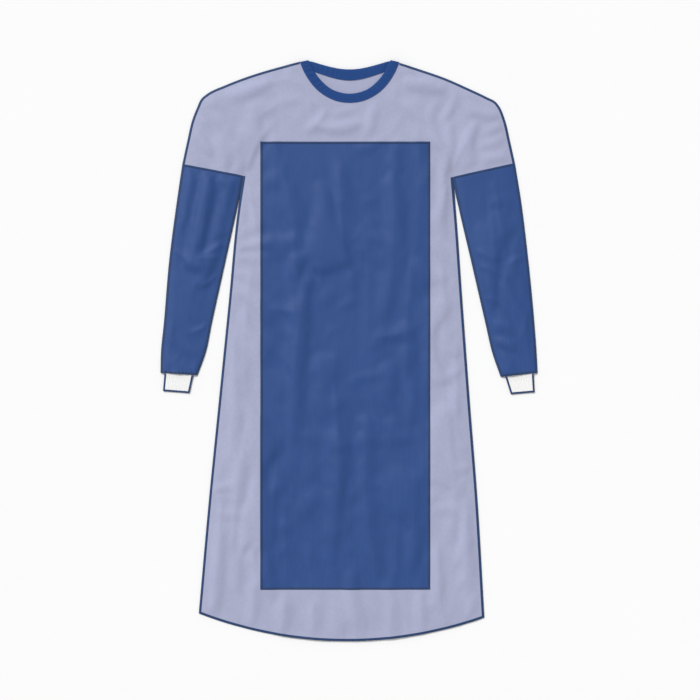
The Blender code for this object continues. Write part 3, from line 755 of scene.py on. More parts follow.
def settle():
    """Heights of loose cloth after it has settled on what it lies on, on a regular grid.

    Each step keeps the cloth's motion, adds its weight, draws every edge to its own length, evens
    out sharp bends and stops the cloth at what lies under it. Seams and the neck are held.
    """
    plan, edges, free, hem_free = settling_cloth()
    first, second = edges.T
    count = len(plan)
    degree = np.bincount(edges.ravel(), minlength=count).astype(float)
    lengths = loose_lengths(plan, edges)

    def bend(z):
        around = np.bincount(first, z[second], count) + np.bincount(second, z[first], count)
        return around / degree - z

    ease = smoothstep(0.0, CREASE_FADE, seam_distance(plan))
    ease *= smoothstep(*NECK_FADE, neck_distance(plan))
    coarse, fine = (smooth_noise(plan, field) for field in ROUGH_FIELDS)
    rough = SETTLE_ROUGH * (coarse + SETTLE_FINE * fine)
    start = SETTLE_START * crease_lift(plan, FRONT_CREASES) + rough
    patch_x = (plan[:, 0] > PATCH_LEFT) & (plan[:, 0] < PATCH_RIGHT)
    patch_y = (plan[:, 1] > PATCH_BOTTOM) & (plan[:, 1] < PATCH_TOP)
    stiffness = np.where(patch_x & patch_y, PATCH_STIFFNESS, CLOTH_STIFFNESS)
    cloth = np.column_stack([plan, SETTLE_HEIGHT + ease * start])
    home = np.column_stack([plan, np.zeros(count)])
    before = cloth.copy()
    for _ in range(SETTLE_STEPS):
        moved = cloth + (cloth - before) * SETTLE_DAMPING * (free > 0.0)[:, None]
        before, cloth = cloth, moved
        cloth[:, 2] -= SETTLE_WEIGHT
        span = cloth[second] - cloth[first]
        span *= (1.0 - lengths / length(span))[:, None]
        for axis in range(3):
            pull = span[:, axis]
            pulled = np.bincount(first, pull, count) - np.bincount(second, pull, count)
            cloth[:, axis] += pulled / degree
        cloth[:, 2] -= stiffness * bend(bend(cloth[:, 2]))
        cloth[:, 2] = np.maximum(cloth[:, 2], -SETTLE_ROOM)
        lying = cloth[:, 2] < SETTLE_TOUCH - SETTLE_ROOM
        cloth[lying, :2] += (before[lying, :2] - cloth[lying, :2]) * SETTLE_GRIP
        cloth += (home - cloth) * (1.0 - free)[:, None]
        cloth[:, 2] *= 1.0 - HEM_HOLD * (1.0 - hem_free)
    return gridded(cloth)


def gridded(cloth):
    """Smooth heights on a regular grid from the heights of scattered points."""
    low = cloth[:, :2].min(axis=0) - FIELD_MARGIN * FIELD_STEP
    cells = np.ptp(cloth[:, :2], axis=0) / FIELD_STEP
    columns, rows = (cells + 2.0 * FIELD_MARGIN + 1.0).astype(int)
    total = np.zeros(rows * columns)
    weight = np.zeros(rows * columns)
    cell = np.round((cloth[:, :2] - low) / FIELD_STEP).astype(int)
    for across in BLUR_CELLS:
        for up in BLUR_CELLS:
            near = cell + (across, up)
            apart = length(low + near * FIELD_STEP - cloth[:, :2])
            share = np.exp(-((apart / FIELD_BLUR) ** 2) / 2.0)
            index = near[:, 1] * columns + near[:, 0]
            total += np.bincount(index, share * cloth[:, 2], rows * columns)
            weight += np.bincount(index, share, rows * columns)
    return low, (total / np.maximum(weight, LEAST_WEIGHT)).reshape(rows, columns)


def settled_lift(xy):
    """The settled cloth's height at each point, between the grid's nearest four."""
    low, field = SETTLED
    place = np.clip((xy - low) / FIELD_STEP, 0.0, np.array(field.shape[::-1]) - WITHIN_LAST)
    column, row = place.astype(int).T
    u, v = (place - place.astype(int)).T
    near = field[row, column] * (1.0 - u) + field[row, column + 1] * u
    far = field[row + 1, column] * (1.0 - u) + field[row + 1, column + 1] * u
    return near * (1.0 - v) + far * v


def gathers(xy):
    """Narrow gathers in a sleeve above its cuff, swaying and uneven."""
    lift = np.zeros(len(xy))
    for side, (outer, inner) in zip((-1.0, 1.0), WRISTS):
        across = unit(inner - outer)
        up = np.array((-across[1], across[0])) * -side
        place = (xy - outer) @ across
        height = (xy - outer) @ up
        sway = np.sin(height / GATHER_SWAY[0]) + 0.5 * np.sin(place / GATHER_SWAY[1])
        wave = 0.5 + 0.5 * np.cos((place + GATHER_SHIFT * sway) * 2.0 * np.pi / GATHER_PITCH)
        rise = GATHER_HEIGHT * wave * uneven(GATHER_UNEVEN[0], place * GATHER_UNEVEN[1] + side)
        ragged = uneven(GATHER_RAGGED[0], place * GATHER_RAGGED[1] + 2.0 * side)
        reach = GATHER_LENGTH * ragged
        near = (xy[:, 0] * side > SLEEVE_X) & (height > GATHER_BELOW)
        lift += near * rise * np.exp(-((height / reach) ** 2) * GATHER_FALL)
    return lift


def puff(distance, reach=PUFF_REACH):
    return PUFF * (1.0 - np.exp(-distance / reach))


def cloth_lift(xy, from_seam):
    """How far creases lift the front and the tops of the sleeves."""
    ease = smoothstep(0.0, CREASE_FADE, from_seam)
    from_neck = neck_distance(xy)
    swell = SWELL * (1.0 + smooth_noise(xy, SWELL_FIELD) * 2.0)
    placed = PLACED_SHARE * crease_lift(xy, FRONT_CREASES) + swell + CRUMPLE * wrinkles(xy)
    settled = settled_lift(xy) * smoothstep(0.0, SETTLED_FADE, np.minimum(from_seam, from_neck))
    lift = placed * ease * smoothstep(*NECK_FADE, from_neck) + SETTLED_SHARE * settled
    limit = np.where(lift < 0.0, DROP_LIMIT + 0.5 * puff(from_seam), LIFT_LIMIT)
    return limit * np.tanh(lift / limit) + gathers(xy) * smoothstep(0.0, GATHER_FADE, from_seam)


def back_lift(xy, from_seam):
    """How far creases lift the back, and with it what lies on it."""
    lift = np.maximum(crease_lift(xy, BACK_CREASES), 0.0)
    inner = smoothstep(EDGE_RIPPLE_START, CREASE_FADE, from_seam)
    return lift * (EDGE_RIPPLE + (1.0 - EDGE_RIPPLE) * inner)


def lifts(xy, from_seam):
    return cloth_lift(xy, from_seam) + back_lift(xy, from_seam)


def under_edge(xy):
    """The back's underside rises off the floor where thread or tape lies under it."""
    thread = EDGE_LIFT * (1.0 - smoothstep(*EDGE_LIFT_REACH, thread_distance(xy)))
    tape_end = TAPE_WIDTH + TAPE_LIFT_FADE
    tape = TAPE_LIFT * (1.0 - smoothstep(TAPE_WIDTH, tape_end, line_distance(xy, UNDER_FAR)))
    return np.maximum(thread, tape)


def front_base(xy, from_edge):
    """Underside of the front's solid: high over the lap, and down to one level at the sides."""
    left, right = (line_distance(xy, line) for line in SEWN_FAR[:2])
    share_in = smoothstep(0.0, SHOULDER_REACH, np.where(xy[:, 0] < 0.0, left, right))
    middle_end = SHOULDER_END + (MIDDLE_END - SHOULDER_END) * share_in
    middle = LEVEL * (2.0 + 2.0 * smoothstep(HEM_CLOSED, HEM_OPEN, xy[:, 1]))
    share = 1.0 - smoothstep(0.0, 1.0, (np.abs(xy[:, 0]) - LAP_END) / (middle_end - LAP_END))
    return share * middle + (1.0 - share) * (LEVEL + puff(from_edge))


def front_height(xy):
    from_seam = seam_distance(xy)
    from_edge = np.minimum(from_seam, line_distance(xy, HEM_FAR))
    return front_base(xy, from_edge) + SHEET_LIFT + lifts(xy, from_seam)


def patch_height(xy):
    return front_height(xy) + SHEET + PATCH_LIFT


def back_left_height(xy):
    return back_lift(xy, seam_distance(xy)) + under_edge(xy)


def back_right_height(xy):
    x, y = xy.T
    lapped = 1.0 - smoothstep(FREE_EDGE, LAP_END, x)
    base = LEVEL * (1.0 + smoothstep(HEM_CLOSED, HEM_OPEN, y)) * lapped
    return base + back_lift(xy, seam_distance(xy)) + under_edge(xy) * (1.0 - lapped)


def sleeve_top(xy, from_edge=None):
    """Upper face of a sleeve, which stands off its underside more the farther it is inside."""
    from_seam = seam_distance(xy)
    wrist = smoothstep(-WRIST_START, -WRIST_END, -xy[:, 1])
    reach = PUFF_REACH + (WRIST_REACH - PUFF_REACH) * wrist
    air = puff(from_seam if from_edge is None else from_edge, reach)
    return CLOSED - SLEEVE_DROP + air + lifts(xy, from_seam)


def sewn_low(xy):
    """Underside of the back or of a sleeve, near an edge."""
    return EDGE_LIFT + back_lift(xy, seam_distance(xy))


def sheet_faces(height):
    """Lower and upper face of a cloth piece."""
    return height, lambda xy: height(xy) + SHEET


def level_at(height):
    return lambda xy: np.full(len(xy), height)


SETTLED = settle()


# Meshes


def add_mesh(name, points, faces, material, sharp=CLOTH_SHARP):
    """A smooth-shaded piece from points in millimetres, with creases kept at sharp edges."""
    mesh = bpy.data.meshes.new(name)
    mesh.from_pydata((np.asarray(points) * MM).tolist(), [], [tuple(face) for face in faces])
    mesh.materials.append(material)
    mesh.shade_smooth()
    mesh.set_sharp_from_angle(angle=math.radians(sharp))
    piece = bpy.data.objects.new(name, mesh)
    bpy.context.scene.collection.objects.link(piece)
    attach(piece, "root")
    return piece


def cloth_piece(name, outline, grid, height, material):
    """A thin closed sheet over an outline, with its underside at the given height."""
    plan, triangles = cut_cloth(outline, grid)
    low = height(plan)
    count = len(plan)
    points = np.vstack([np.column_stack([plan, low]), np.column_stack([plan, low + SHEET])])
    sides = sides_of(triangles)
    keys = np.sort(sides, axis=1)
    _, first, number = np.unique(keys, axis=0, return_index=True, return_counts=True)
    rim = sides[first[number == 1]]
    faces = (triangles + count).tolist() + triangles[:, ::-1].tolist()
    faces += np.column_stack([rim, rim[:, ::-1] + count]).tolist()
    return add_mesh(name, points, faces, material)


def band(first, second):
    """Quads between two rings of point numbers."""
    return np.column_stack([first, np.roll(first, -1), np.roll(second, -1), second])


def tube_faces(rings):
    return np.vstack([band(*pair) for pair in zip(rings[:-1], rings[1:])])


def solid_faces(rings):
    """A tube's quads and a cap on each end."""
    return tube_faces(rings).tolist() + [rings[0][::-1].tolist(), rings[-1].tolist()]


def walled_tube(name, rings, material):
    """A tube with a wall, open at both ends, from pairs of an outer and an inner ring."""
    points = np.array(rings).swapaxes(0, 1)
    outer, inner = np.arange(points.size // 3).reshape(points.shape[:3])
    faces = np.vstack([
        tube_faces(outer),
        tube_faces(inner)[:, ::-1],
        band(inner[0], outer[0]),
        band(outer[-1], inner[-1]),
    ])
    start, beside, ahead = points[0, 0, 0], points[0, 0, 1], points[0, 1, 0]
    if np.cross(beside - start, ahead - start)[2] > 0.0:
        faces = faces[:, ::-1]
    return add_mesh(name, points.reshape(-1, 3), faces.tolist(), material)


def strip(name, loops, material, closed=False, sharp=TAPE_SHARP):
    """A solid strip through equal profile loops, capped at its ends unless it closes."""
    rings = np.arange(loops.size // 3).reshape(loops.shape[:2])
    if closed:
        faces = np.vstack([tube_faces(rings), band(rings[-1], rings[0])]).tolist()
    else:
        faces = solid_faces(rings)
    return add_mesh(name, loops.reshape(-1, 3), faces, material, sharp)


# Cloth pieces


def lifted(start, end, profile):
    """A profile of places and heights, stood up on the way from start to end."""
    across = unit(end - start)
    return [(*(start + across * place), z) for place, z in profile]


def tube_ring(start, end, wall, middle, places, top, bottom):
    """A flattened tube's ring from start to end: a rounded fold, top, a fold, underside."""
    width = length(end - start)
    bend = CLOTH - wall
    rise = CLOSED / 2.0 - wall
    fold = [(bend * math.cos(a), middle + rise * math.sin(a)) for a in FOLD_ANGLES]
    near = [(CLOTH - out, z) for out, z in fold]
    far = [(width - CLOTH + out, z) for out, z in reversed(fold)]
    profile = near + list(zip(places, top)) + far + list(zip(places[::-1], bottom[::-1]))
    return lifted(start, end, profile)


def sleeve(name, arm, material):
    """A flattened sleeve: a rounded fold along each edge, and creases in its top."""
    edges = [evenly(edge, SLEEVE_GRID) for edge in (arm.outer, arm.inner)]
    rows = max(len(edge) for edge in edges)
    edges = [
        points_at(edge, np.arange(len(edge)), np.linspace(0.0, len(edge) - 1.0, rows))
        for edge in edges
    ]
    for edge in edges:
        edge[0] += (edge[1] - edge[0]) * SEAM_TRIM / SLEEVE_GRID
        edge[-1] += (edge[-2] - edge[-1]) * WRIST_TRIM / SLEEVE_GRID
    columns = round(length(edges[1][0] - edges[0][0]) / SLEEVE_GRID)
    rings = [sleeve_rings(start, end, columns) for start, end in zip(*edges)]
    return walled_tube(name, rings, material)


def sleeve_rings(start, end, columns):
    """Outer and inner ring of a sleeve where it crosses the arm from start to end."""
    width = length(end - start)
    places = np.linspace(CLOTH, width - CLOTH, columns)
    xy = start + unit(end - start) * places[:, None]
    low = back_lift(xy, seam_distance(xy)) + under_edge(xy)
    top = sleeve_top(xy, np.minimum(np.minimum(places, width - places), edge_distance(xy)))
    return [
        tube_ring(start, end, wall, CLOSED / 2.0, places, top - wall, low + wall)
        for wall in (0.0, SHEET)
    ]


def cuff(name, ends, material):
    """A ribbed knit tube, held in the sleeve's end and lying on the floor past it."""
    top, hem = ends
    whole = length(hem[0] - top[0])
    ribs = round(length(top[1] - top[0]) / RIB_PITCH)
    rings = []
    for place in np.linspace(-CUFF_INSET, whole - CUFF_TRIM, CUFF_RINGS):
        start, end = top + (hem - top) * (place / whole)
        free = smoothstep(0.0, CUFF_SETTLE, place)
        stretch = 1.0 - HEM_STRETCH * smoothstep(whole - HEM_STRETCH_REACH, whole, place)
        rise = RIB_RISE * stretch * (HELD_RIB + (1.0 - HELD_RIB) * free)
        at_hem = smoothstep(*(whole - reach for reach in CUFF_LIFT_HEM), place)
        rings.append(cuff_rings(start, end, LEVEL * (1.0 - free), rise, ribs, at_hem))
    return walled_tube(name, rings, material)


def cuff_rings(start, end, low, rise, ribs, at_hem):
    """Outer and inner ring of a cuff, with rounded ribs on both of its outer faces."""
    width = length(end - start)
    shares = np.linspace(0.0, 1.0, ribs * RIB_STEPS + 1)
    crest = np.abs(np.sin(np.pi * shares * ribs)) ** RIB_ROUND
    places = CLOTH + (width - 2.0 * CLOTH) * shares
    at_side = 1.0 - smoothstep(*CUFF_LIFT_SIDE, np.minimum(places, width - places))
    lift = CUFF_LIFT * np.maximum(at_hem, at_side)
    rings = []
    for wall, ribbed in ((0.0, rise), (KNIT_WALL, 0.0)):
        top = low + CLOSED - wall + ribbed * crest - KNIT_DROP
        bottom = low + wall + ribbed * (1.0 - crest) * UNDER_RIB + lift
        rings.append(tube_ring(start, end, wall, low + CLOSED / 2.0, places, top, bottom))
    return rings


def binding(name, sections, low, high, material, tuck=0.0):
    """A tape folded over a neck edge, with puckered leaves, and its ends pressed down by tuck."""
    edge, leaf = sections
    bottom = low * LEVEL + TAPE_RAISE
    places = places_of(edge)
    loops = []
    for start, end, along in zip(edge, leaf, places):
        phase = along / PUCKER_PITCH + PUCKER_SWAY * math.sin(along / PUCKER_SWAY_LENGTH)
        pucker = PUCKER * math.sin(phase) * uneven(PUCKER_UNEVEN, along / PUCKER_LENGTH)
        from_end = min(along, places[-1] - along)
        pressed = tuck * (1.0 - smoothstep(0.0, TUCK_LENGTH, from_end))
        top = high * LEVEL + CLOTH - TAPE_LOWER - pressed
        width = length(end - start)
        outer = folded_profile(width, bottom, top, 0.0, pucker)
        inner = folded_profile(width, bottom, top, TAPE_WALL, 0.0)
        loops.append(lifted(start, end, outer + inner[::-1]))
    return strip(name, np.array(loops), material)


def folded_profile(width, bottom, top, wall, pucker):
    """Half the outline of a folded tape, from its lower leaf round the fold to its upper one."""
    middle = (bottom + top) / 2.0
    reach = (top - bottom) / 2.0 - wall
    under = [(width * share, bottom + wall) for share in TAPE_SHARES]
    fold = [
        (reach + wall - reach * math.cos(a), middle + reach * math.sin(a))
        for a in TAPE_ANGLES
    ]
    over = []
    for share in reversed(TAPE_SHARES):
        swell = TAPE_SWELL * math.sin(math.pi * share)
        wave = pucker * math.sin(math.pi * min(share * PUCKER_REACH, 1.0))
        over.append((width * share, top - wall + swell + wave))
    return under + fold + over


def lapped_binding(name, sections, material):
    """The tape of the panel that lies on the floor: thin, and folded over both of its faces."""
    wall, low, top = THIN_WALL, THIN_LOW, THIN_TOP
    place, drop = THIN_CORNER
    loops = []
    for start, end in zip(*sections):
        width = length(end - start)
        loops.append(lifted(start, end, (
            (width, low), (width, low + wall), (wall * 2.0, low + wall),
            (wall * 2.0, top - wall), (width, top - wall), (width, top),
            (THIN_BEND, top), (place, top - drop), (0.0, top / 2.0), (place, drop),
            (THIN_BEND, low),
        )))
    return strip(name, np.array(loops), material)


def tie(name, side, level, ends, material):
    """A straight tape beside the free edge on one side, following the cloth under it."""
    top, bottom = ends
    middle = side * (FREE_EDGE - TIE_INSET - TIE_WIDTH / 2.0)
    xs = np.linspace(middle - TIE_WIDTH / 2.0, middle + TIE_WIDTH / 2.0, TIE_COLUMNS)
    loops = []
    for y in np.linspace(bottom, top, round((top - bottom) / TIE_STEP)):
        xy = np.column_stack([xs, np.full(len(xs), y)])
        low = level * LEVEL + TIE_LIFT + back_lift(xy, seam_distance(xy))
        under = np.column_stack([xy, low])
        loops.append(between(under, under + (0.0, 0.0, SHEET)))
    return strip(name, np.array(loops), material)


# Sewing


def stitch_rows(line, inward, closed=False):
    """Points along a line, the ways ahead and outward from each, and how far its rib rises."""
    line = evenly(line, STITCH_PITCH / STITCH_ROWS)
    if closed:
        line = line[:-1]
    ahead = np.roll(line, -1, axis=0) - np.roll(line, 1, axis=0)
    if not closed:
        ahead[0] = line[1] - line[0]
        ahead[-1] = line[-1] - line[-2]
    ahead = unit(ahead)
    out = np.column_stack([ahead[:, 1], -ahead[:, 0]])
    middle = len(line) // 2
    if out[middle] @ (np.array(inward) - line[middle]) > 0.0:
        out = -out
    return line, ahead, out, THREAD_RISE * (np.arange(len(line)) % STITCH_ROWS > 0)


def overlock(name, line, inward, faces, material, width=OVERLOCK_WIDTH, least=LEAST_HEIGHT,
             over=THREAD_OVER):
    """Thread wrapped round an edge, one rib a stitch. faces are the cloth's lower and upper."""
    low, high = faces
    line, ahead, out, rib = stitch_rows(line, inward)
    from_arm = [length(line - side[0]) for side in (LEFT_SIDE, RIGHT_SIDE)]
    loose = ARM_LOOPS * (1.0 - smoothstep(*ARM_REACH, np.min(from_arm, axis=0)))
    reach = THREAD_REACH + rib + loose
    columns = []
    for place in (*(width * share for share in OVERLOCK_TOP), -THREAD_CLEAR):
        spot = line - out * place
        lift = rib * (INNER_RIB if place == width else 1.0)
        slanted = spot + ahead * STITCH_SLANT * (place / width)
        columns.append(np.column_stack([slanted, high(spot) + over + lift]))
    columns.append(np.column_stack([line + out * reach[:, None], (high(line) + low(line)) / 2.0]))
    for place in (-THREAD_CLEAR, *(width * share for share in OVERLOCK_UNDER)):
        spot = line - out * place
        columns.append(np.column_stack([spot, low(spot) - THREAD_UNDER - rib * LOWER_RIB]))
    inner = line - out * width
    tuck = line - out * width * OVERLOCK_TUCK
    columns.append(np.column_stack([tuck, (high(inner) + low(inner)) / 2.0]))
    loops = np.stack(columns, axis=1)
    loops[:, :, 2] = np.maximum(loops[:, :, 2], least)
    return strip(name, loops, material, sharp=THREAD_SHARP)


def satin_band(name, line, inward, ground, material, inset, outset, closed=False, face=1.0):
    """A flat band of close stitches along a line, on cloth's upper face or, at -1, its lower."""
    line, _, out, rib = stitch_rows(line, inward, closed)
    full, rib_share = SATIN_UPPER if face > 0.0 else SATIN_LOWER
    full = SATIN_RIM + full + rib * rib_share
    columns = []
    for share, stand in (
        (0.0, SATIN_RIM), *((share, full) for share in SATIN_TOP), (1.0, SATIN_RIM),
        (1.0, -SATIN_SINK), (0.0, -SATIN_SINK),
    ):
        place = outset - (inset + outset) * share
        z = ground(line + out * min(place, -SATIN_SINK)) + face * stand
        columns.append(np.column_stack([line + out * place, z]))
    return strip(name, np.stack(columns, axis=1), material, closed, THREAD_SHARP)


def topstitches(name, line, height, material):
    """A row of separate stitches that lie on the cloth along a line."""
    points = []
    faces = []
    line = evenly(line, TOPSTITCH_STEP)
    places = places_of(line)
    rings = np.arange(4 * len(TOPSTITCH_FULL)).reshape(-1, 4)
    for k in range(int(places[-1] // TOPSTITCH_PITCH)):
        ends = TOPSTITCH_PITCH * k + np.linspace(0.0, TOPSTITCH_LENGTH, len(TOPSTITCH_FULL))
        spots = points_at(line, places, ends)
        ahead = unit(spots[-1] - spots[0])
        out = np.array((-ahead[1], ahead[0]))
        faces += solid_faces(rings + len(points))
        for spot, full in zip(spots, TOPSTITCH_FULL):
            half = THREAD_WIDTH / 2.0 * full
            for side, rise in (
                (-1.0, -TOPSTITCH_SINK), (-TOPSTITCH_ROUND, half), (TOPSTITCH_ROUND, half),
                (1.0, -TOPSTITCH_SINK),
            ):
                points.append((*(spot + out * half * side), height + rise))
    return add_mesh(name, np.array(points), faces, material, sharp=STITCH_SHARP)


# Materials


def add_node(tree, kind, inputs, **settings):
    """A shader node with its settings and inputs; an input may be another node's output."""
    made = tree.nodes.new(kind)
    for name, value in settings.items():
        setattr(made, name, value)
    for name, value in inputs.items():
        if isinstance(value, bpy.types.NodeSocket):
            tree.links.new(value, made.inputs[name])
        else:
            made.inputs[name].default_value = value
    return made


def stretched(tree, scale_x, scale_y, turn=0.0):
    """Object coordinates in metres, turned and scaled."""
    place = add_node(tree, "ShaderNodeTexCoord", {}).outputs["Object"]
    turned = {"Vector": place, "Rotation": (0.0, 0.0, turn), "Scale": (scale_x, scale_y, scale_y)}
    return add_node(tree, "ShaderNodeMapping", turned).outputs["Vector"]


def layer_value(tree, layer):
    """A layer's value: noise, or bands where it names their direction."""
    vector = stretched(tree, layer.across, layer.along, layer.turn)
    inputs = {"Vector": vector, "Scale": layer.scale}
    if layer.bands:
        inputs["Distortion"] = layer.detail
        made = add_node(tree, "ShaderNodeTexWave", inputs, bands_direction=layer.bands)
    else:
        inputs.update(Detail=layer.detail, Roughness=NOISE_ROUGHNESS)
        made = add_node(tree, "ShaderNodeTexNoise", inputs)
    return made.outputs["Fac"]


def bond_points(tree, pitch):
    """Rows of small pressed dots, staggered, as where a nonwoven's fibres are bonded."""
    vector = stretched(tree, 1.0, 1.0, DOT_TURN)
    inputs = {"Vector": vector, "Scale": 1.0 / (pitch * MM), "Randomness": 0.0}
    cells = add_node(tree, "ShaderNodeTexVoronoi", inputs, voronoi_dimensions="2D")
    span = {"Value": cells.outputs["Distance"], "From Min": DOT_EDGE[0], "From Max": DOT_EDGE[1]}
    dots = add_node(tree, "ShaderNodeMapRange", span, interpolation_type="SMOOTHSTEP")
    return dots.outputs["Result"]


def tinted(tree, colour, spread, values):
    """The colour made a little lighter and darker by the mean of several values."""
    total = values[0]
    for value in values[1:]:
        added = add_node(tree, "ShaderNodeMath", {0: total, 1: value}, operation="ADD")
        total = added.outputs[0]
    scaled = {0: total, 1: 1.0 / len(values)}
    mean = add_node(tree, "ShaderNodeMath", scaled, operation="MULTIPLY").outputs[0]
    span = {"Value": mean, "From Min": TINT_RANGE[0], "From Max": TINT_RANGE[1]}
    factor = add_node(tree, "ShaderNodeMapRange", span).outputs["Result"]
    ramp = add_node(tree, "ShaderNodeValToRGB", {"Fac": factor})
    for element, share in zip(ramp.color_ramp.elements, (1.0 - spread, 1.0 + spread)):
        element.color = (*(min(part * share, 1.0) for part in colour), 1.0)
    return ramp.outputs["Color"]


def new_material(look):
    material = bpy.data.materials.new(look.name)
    material.use_nodes = True
    tree = material.node_tree
    shader = tree.nodes["Principled BSDF"]
    for name, value in (
        ("Roughness", look.roughness), ("Specular IOR Level", look.specular),
        ("Sheen Weight", look.sheen), ("Sheen Roughness", SHEEN_ROUGHNESS),
    ):
        shader.inputs[name].default_value = value
    values = [layer_value(tree, layer) for layer in look.layers]
    tree.links.new(tinted(tree, look.colour, look.spread, values), shader.inputs["Base Color"])
    bumps = list(zip(values, (layer.depth for layer in look.layers)))
    if look.dot_pitch:
        bumps.insert(0, (bond_points(tree, look.dot_pitch), look.dot_depth))
    inputs = {}
    for value, depth in bumps:
        if depth:
            inputs.update(Height=value, Distance=depth * MM, Strength=1.0)
            inputs["Normal"] = add_node(tree, "ShaderNodeBump", inputs).outputs["Normal"]
    if inputs:
        tree.links.new(inputs["Normal"], shader.inputs["Normal"])
    return material


# Everything together


def declare(node):
    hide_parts(node)


def add_body(body, barrier):
    for name, node, outline, grid, height, rests_on in (
        ("back_left_cloth", "back_panel_left", BACK_LEFT_OUTLINE, BACK_GRID, back_left_height,
         ["floor"]),
        ("back_right_cloth", "back_panel_right", BACK_RIGHT_OUTLINE, BACK_GRID, back_right_height,
         ["back_left_cloth", "floor"]),
        ("front_cloth", "front_panel", FRONT_OUTLINE, FRONT_GRID, front_height,
         ["back_right_cloth", "back_left_cloth"]),
    ):
        piece = cloth_piece(name, outline, grid, height, body)
        declare(node)
    patch = cloth_piece("reinforcement_cloth", PATCH_OUTLINE, PATCH_GRID, patch_height, barrier)
    declare("front_reinforcement")


def add_sleeves(barrier, knit):
    for arm in SLEEVES:
        piece = sleeve(f"sleeve_{arm.side}_cloth", arm, barrier)
        declare(f"sleeve_{arm.side}")
        piece = cuff(f"cuff_{arm.side}_knit", arm.cuff, knit)
        declare(f"cuff_{arm.side}")


def declare_tape(node):
    """Hides the CAD part of a folded tape."""
    declare(node)


def add_bindings(material, sewing):
    for node, sections, low, high, tuck, under in (
        ("neck_binding_front", FRONT_BINDING, 3, 5, 0.0, "front_cloth"),
        ("neck_binding_back_right", BACK_BINDING, 1, 3, TUCK_DEPTH, "back_right_cloth"),
    ):
        piece = binding(f"{node}_tape", sections, low, high, material, tuck)
        declare_tape(node)
        edge, leaf = sections
        line = leaf + unit(edge - leaf) * TOPSTITCH_INSET
        height = high * LEVEL + CLOTH - TOPSTITCH_DROP
        topstitches(f"{node}_stitches", line, height, sewing)
    piece = lapped_binding("neck_binding_back_left_tape", UNDER_BINDING, material)
    declare_tape("neck_binding_back_left")


def add_ties(material):
    for place, ends in (("neck", NECK_TIE), ("waist", WAIST_TIE)):
        for side, way, level in (("left", 1, 1), ("right", -1, 3)):
            node = f"{place}_tie_{side}"
            piece = tie(f"{node}_tape", way, level, ends, material)
            declare(node)


def add_sewing(material):
    """Dark thread round every edge and along every seam that shows."""
    middle = (0.0, 0.0)
    edge = (sewn_low, sheet_faces(front_height)[1])
    back_left_edge = np.vstack([LEFT_HEM + (0.0, HEM_INSET), (FREE_EDGE, UNDER_NECK[-1].leaf_y)])
    start = (-FREE_EDGE, BACK_NECK[1].leaf_y - FREE_EDGE_DROP)
    back_right_edge = np.vstack([start, RIGHT_HEM + (0.0, HEM_INSET)])
    rows = []
    for name, line, faces, over in (
        ("side_left", np.vstack([LEFT_SIDE[:-1], HEM[:1]]), edge, 0.0),
        ("side_right", np.vstack([RIGHT_SIDE[:-1], HEM[-1:]]), edge, 0.0),
        ("shoulder_left", LEFT_SHOULDER, edge, 0.0),
        ("shoulder_right", RIGHT_SHOULDER, edge, 0.0),
        ("hem_front", HEM, sheet_faces(front_height), FRONT_HEM_OVER),
        ("hem_back_left", back_left_edge, sheet_faces(back_left_height), 0.0),
        ("hem_back_right", back_right_edge, sheet_faces(back_right_height), 0.0),
    ):
        name = f"{name}_thread"
        rows.append(overlock(name, line, middle, faces, material, over=THREAD_OVER + over))
    outline = np.vstack([PATCH_OUTLINE, PATCH_OUTLINE[:1]])
    top = sheet_faces(patch_height)[1]
    rows.append(satin_band("reinforcement_thread", outline, middle, top, material,
                           OVERLOCK_WIDTH, PATCH_OUTSET, closed=True))
    for arm in SLEEVES:
        rows += sleeve_sewing(arm, material)
        rows += cuff_sewing(arm, material)


def sleeve_sewing(arm, material):
    """Thread down both edges of a sleeve, over and under its seam, and round its end."""
    centre = np.mean([row.sum(axis=0) for row in arm.sections], axis=0) / 2.0
    rows = []
    for edge, line in (("outer", arm.outer.copy()), ("inner", arm.inner.copy())):
        line[-1] += (line[-2] - line[-1]) * WRIST_TRIM / 2.0 / SLEEVE_GRID
        name = f"sleeve_{arm.side}_{edge}_thread"
        rows.append(overlock(name, line, centre, (sewn_low, sleeve_top), material))
    way = unit(arm.seam[-1] - arm.seam[0])
    seam = np.vstack([arm.seam, arm.seam[-1] + way * SEAM_OVERRUN])
    half = OVERLOCK_WIDTH / 2.0
    for place, ground, face in (("", sleeve_top, 1.0), ("under_", sewn_low, -1.0)):
        name = f"sleeve_seam_{arm.side}_{place}thread"
        rows.append(satin_band(name, seam, centre, ground, material, half, half, face=face))
    wrist = inset_ends(arm.sections[-1] + (0.0, WRIST_TRIM), HEM_ENDS_INSET)
    upper = (lambda xy: sleeve_top(xy) - SHEET, sleeve_top)
    down, up = SLEEVE_LOWER
    lower = (lambda xy: sewn_low(xy) - down, lambda xy: sewn_low(xy) + SHEET - up)
    for place, faces, over in (("", upper, HEM_OVER), ("under_", lower, 0.0)):
        name = f"sleeve_{arm.side}_hem_{place}thread"
        rows.append(overlock(name, wrist, centre, faces, material, over=THREAD_OVER + over))
    return rows


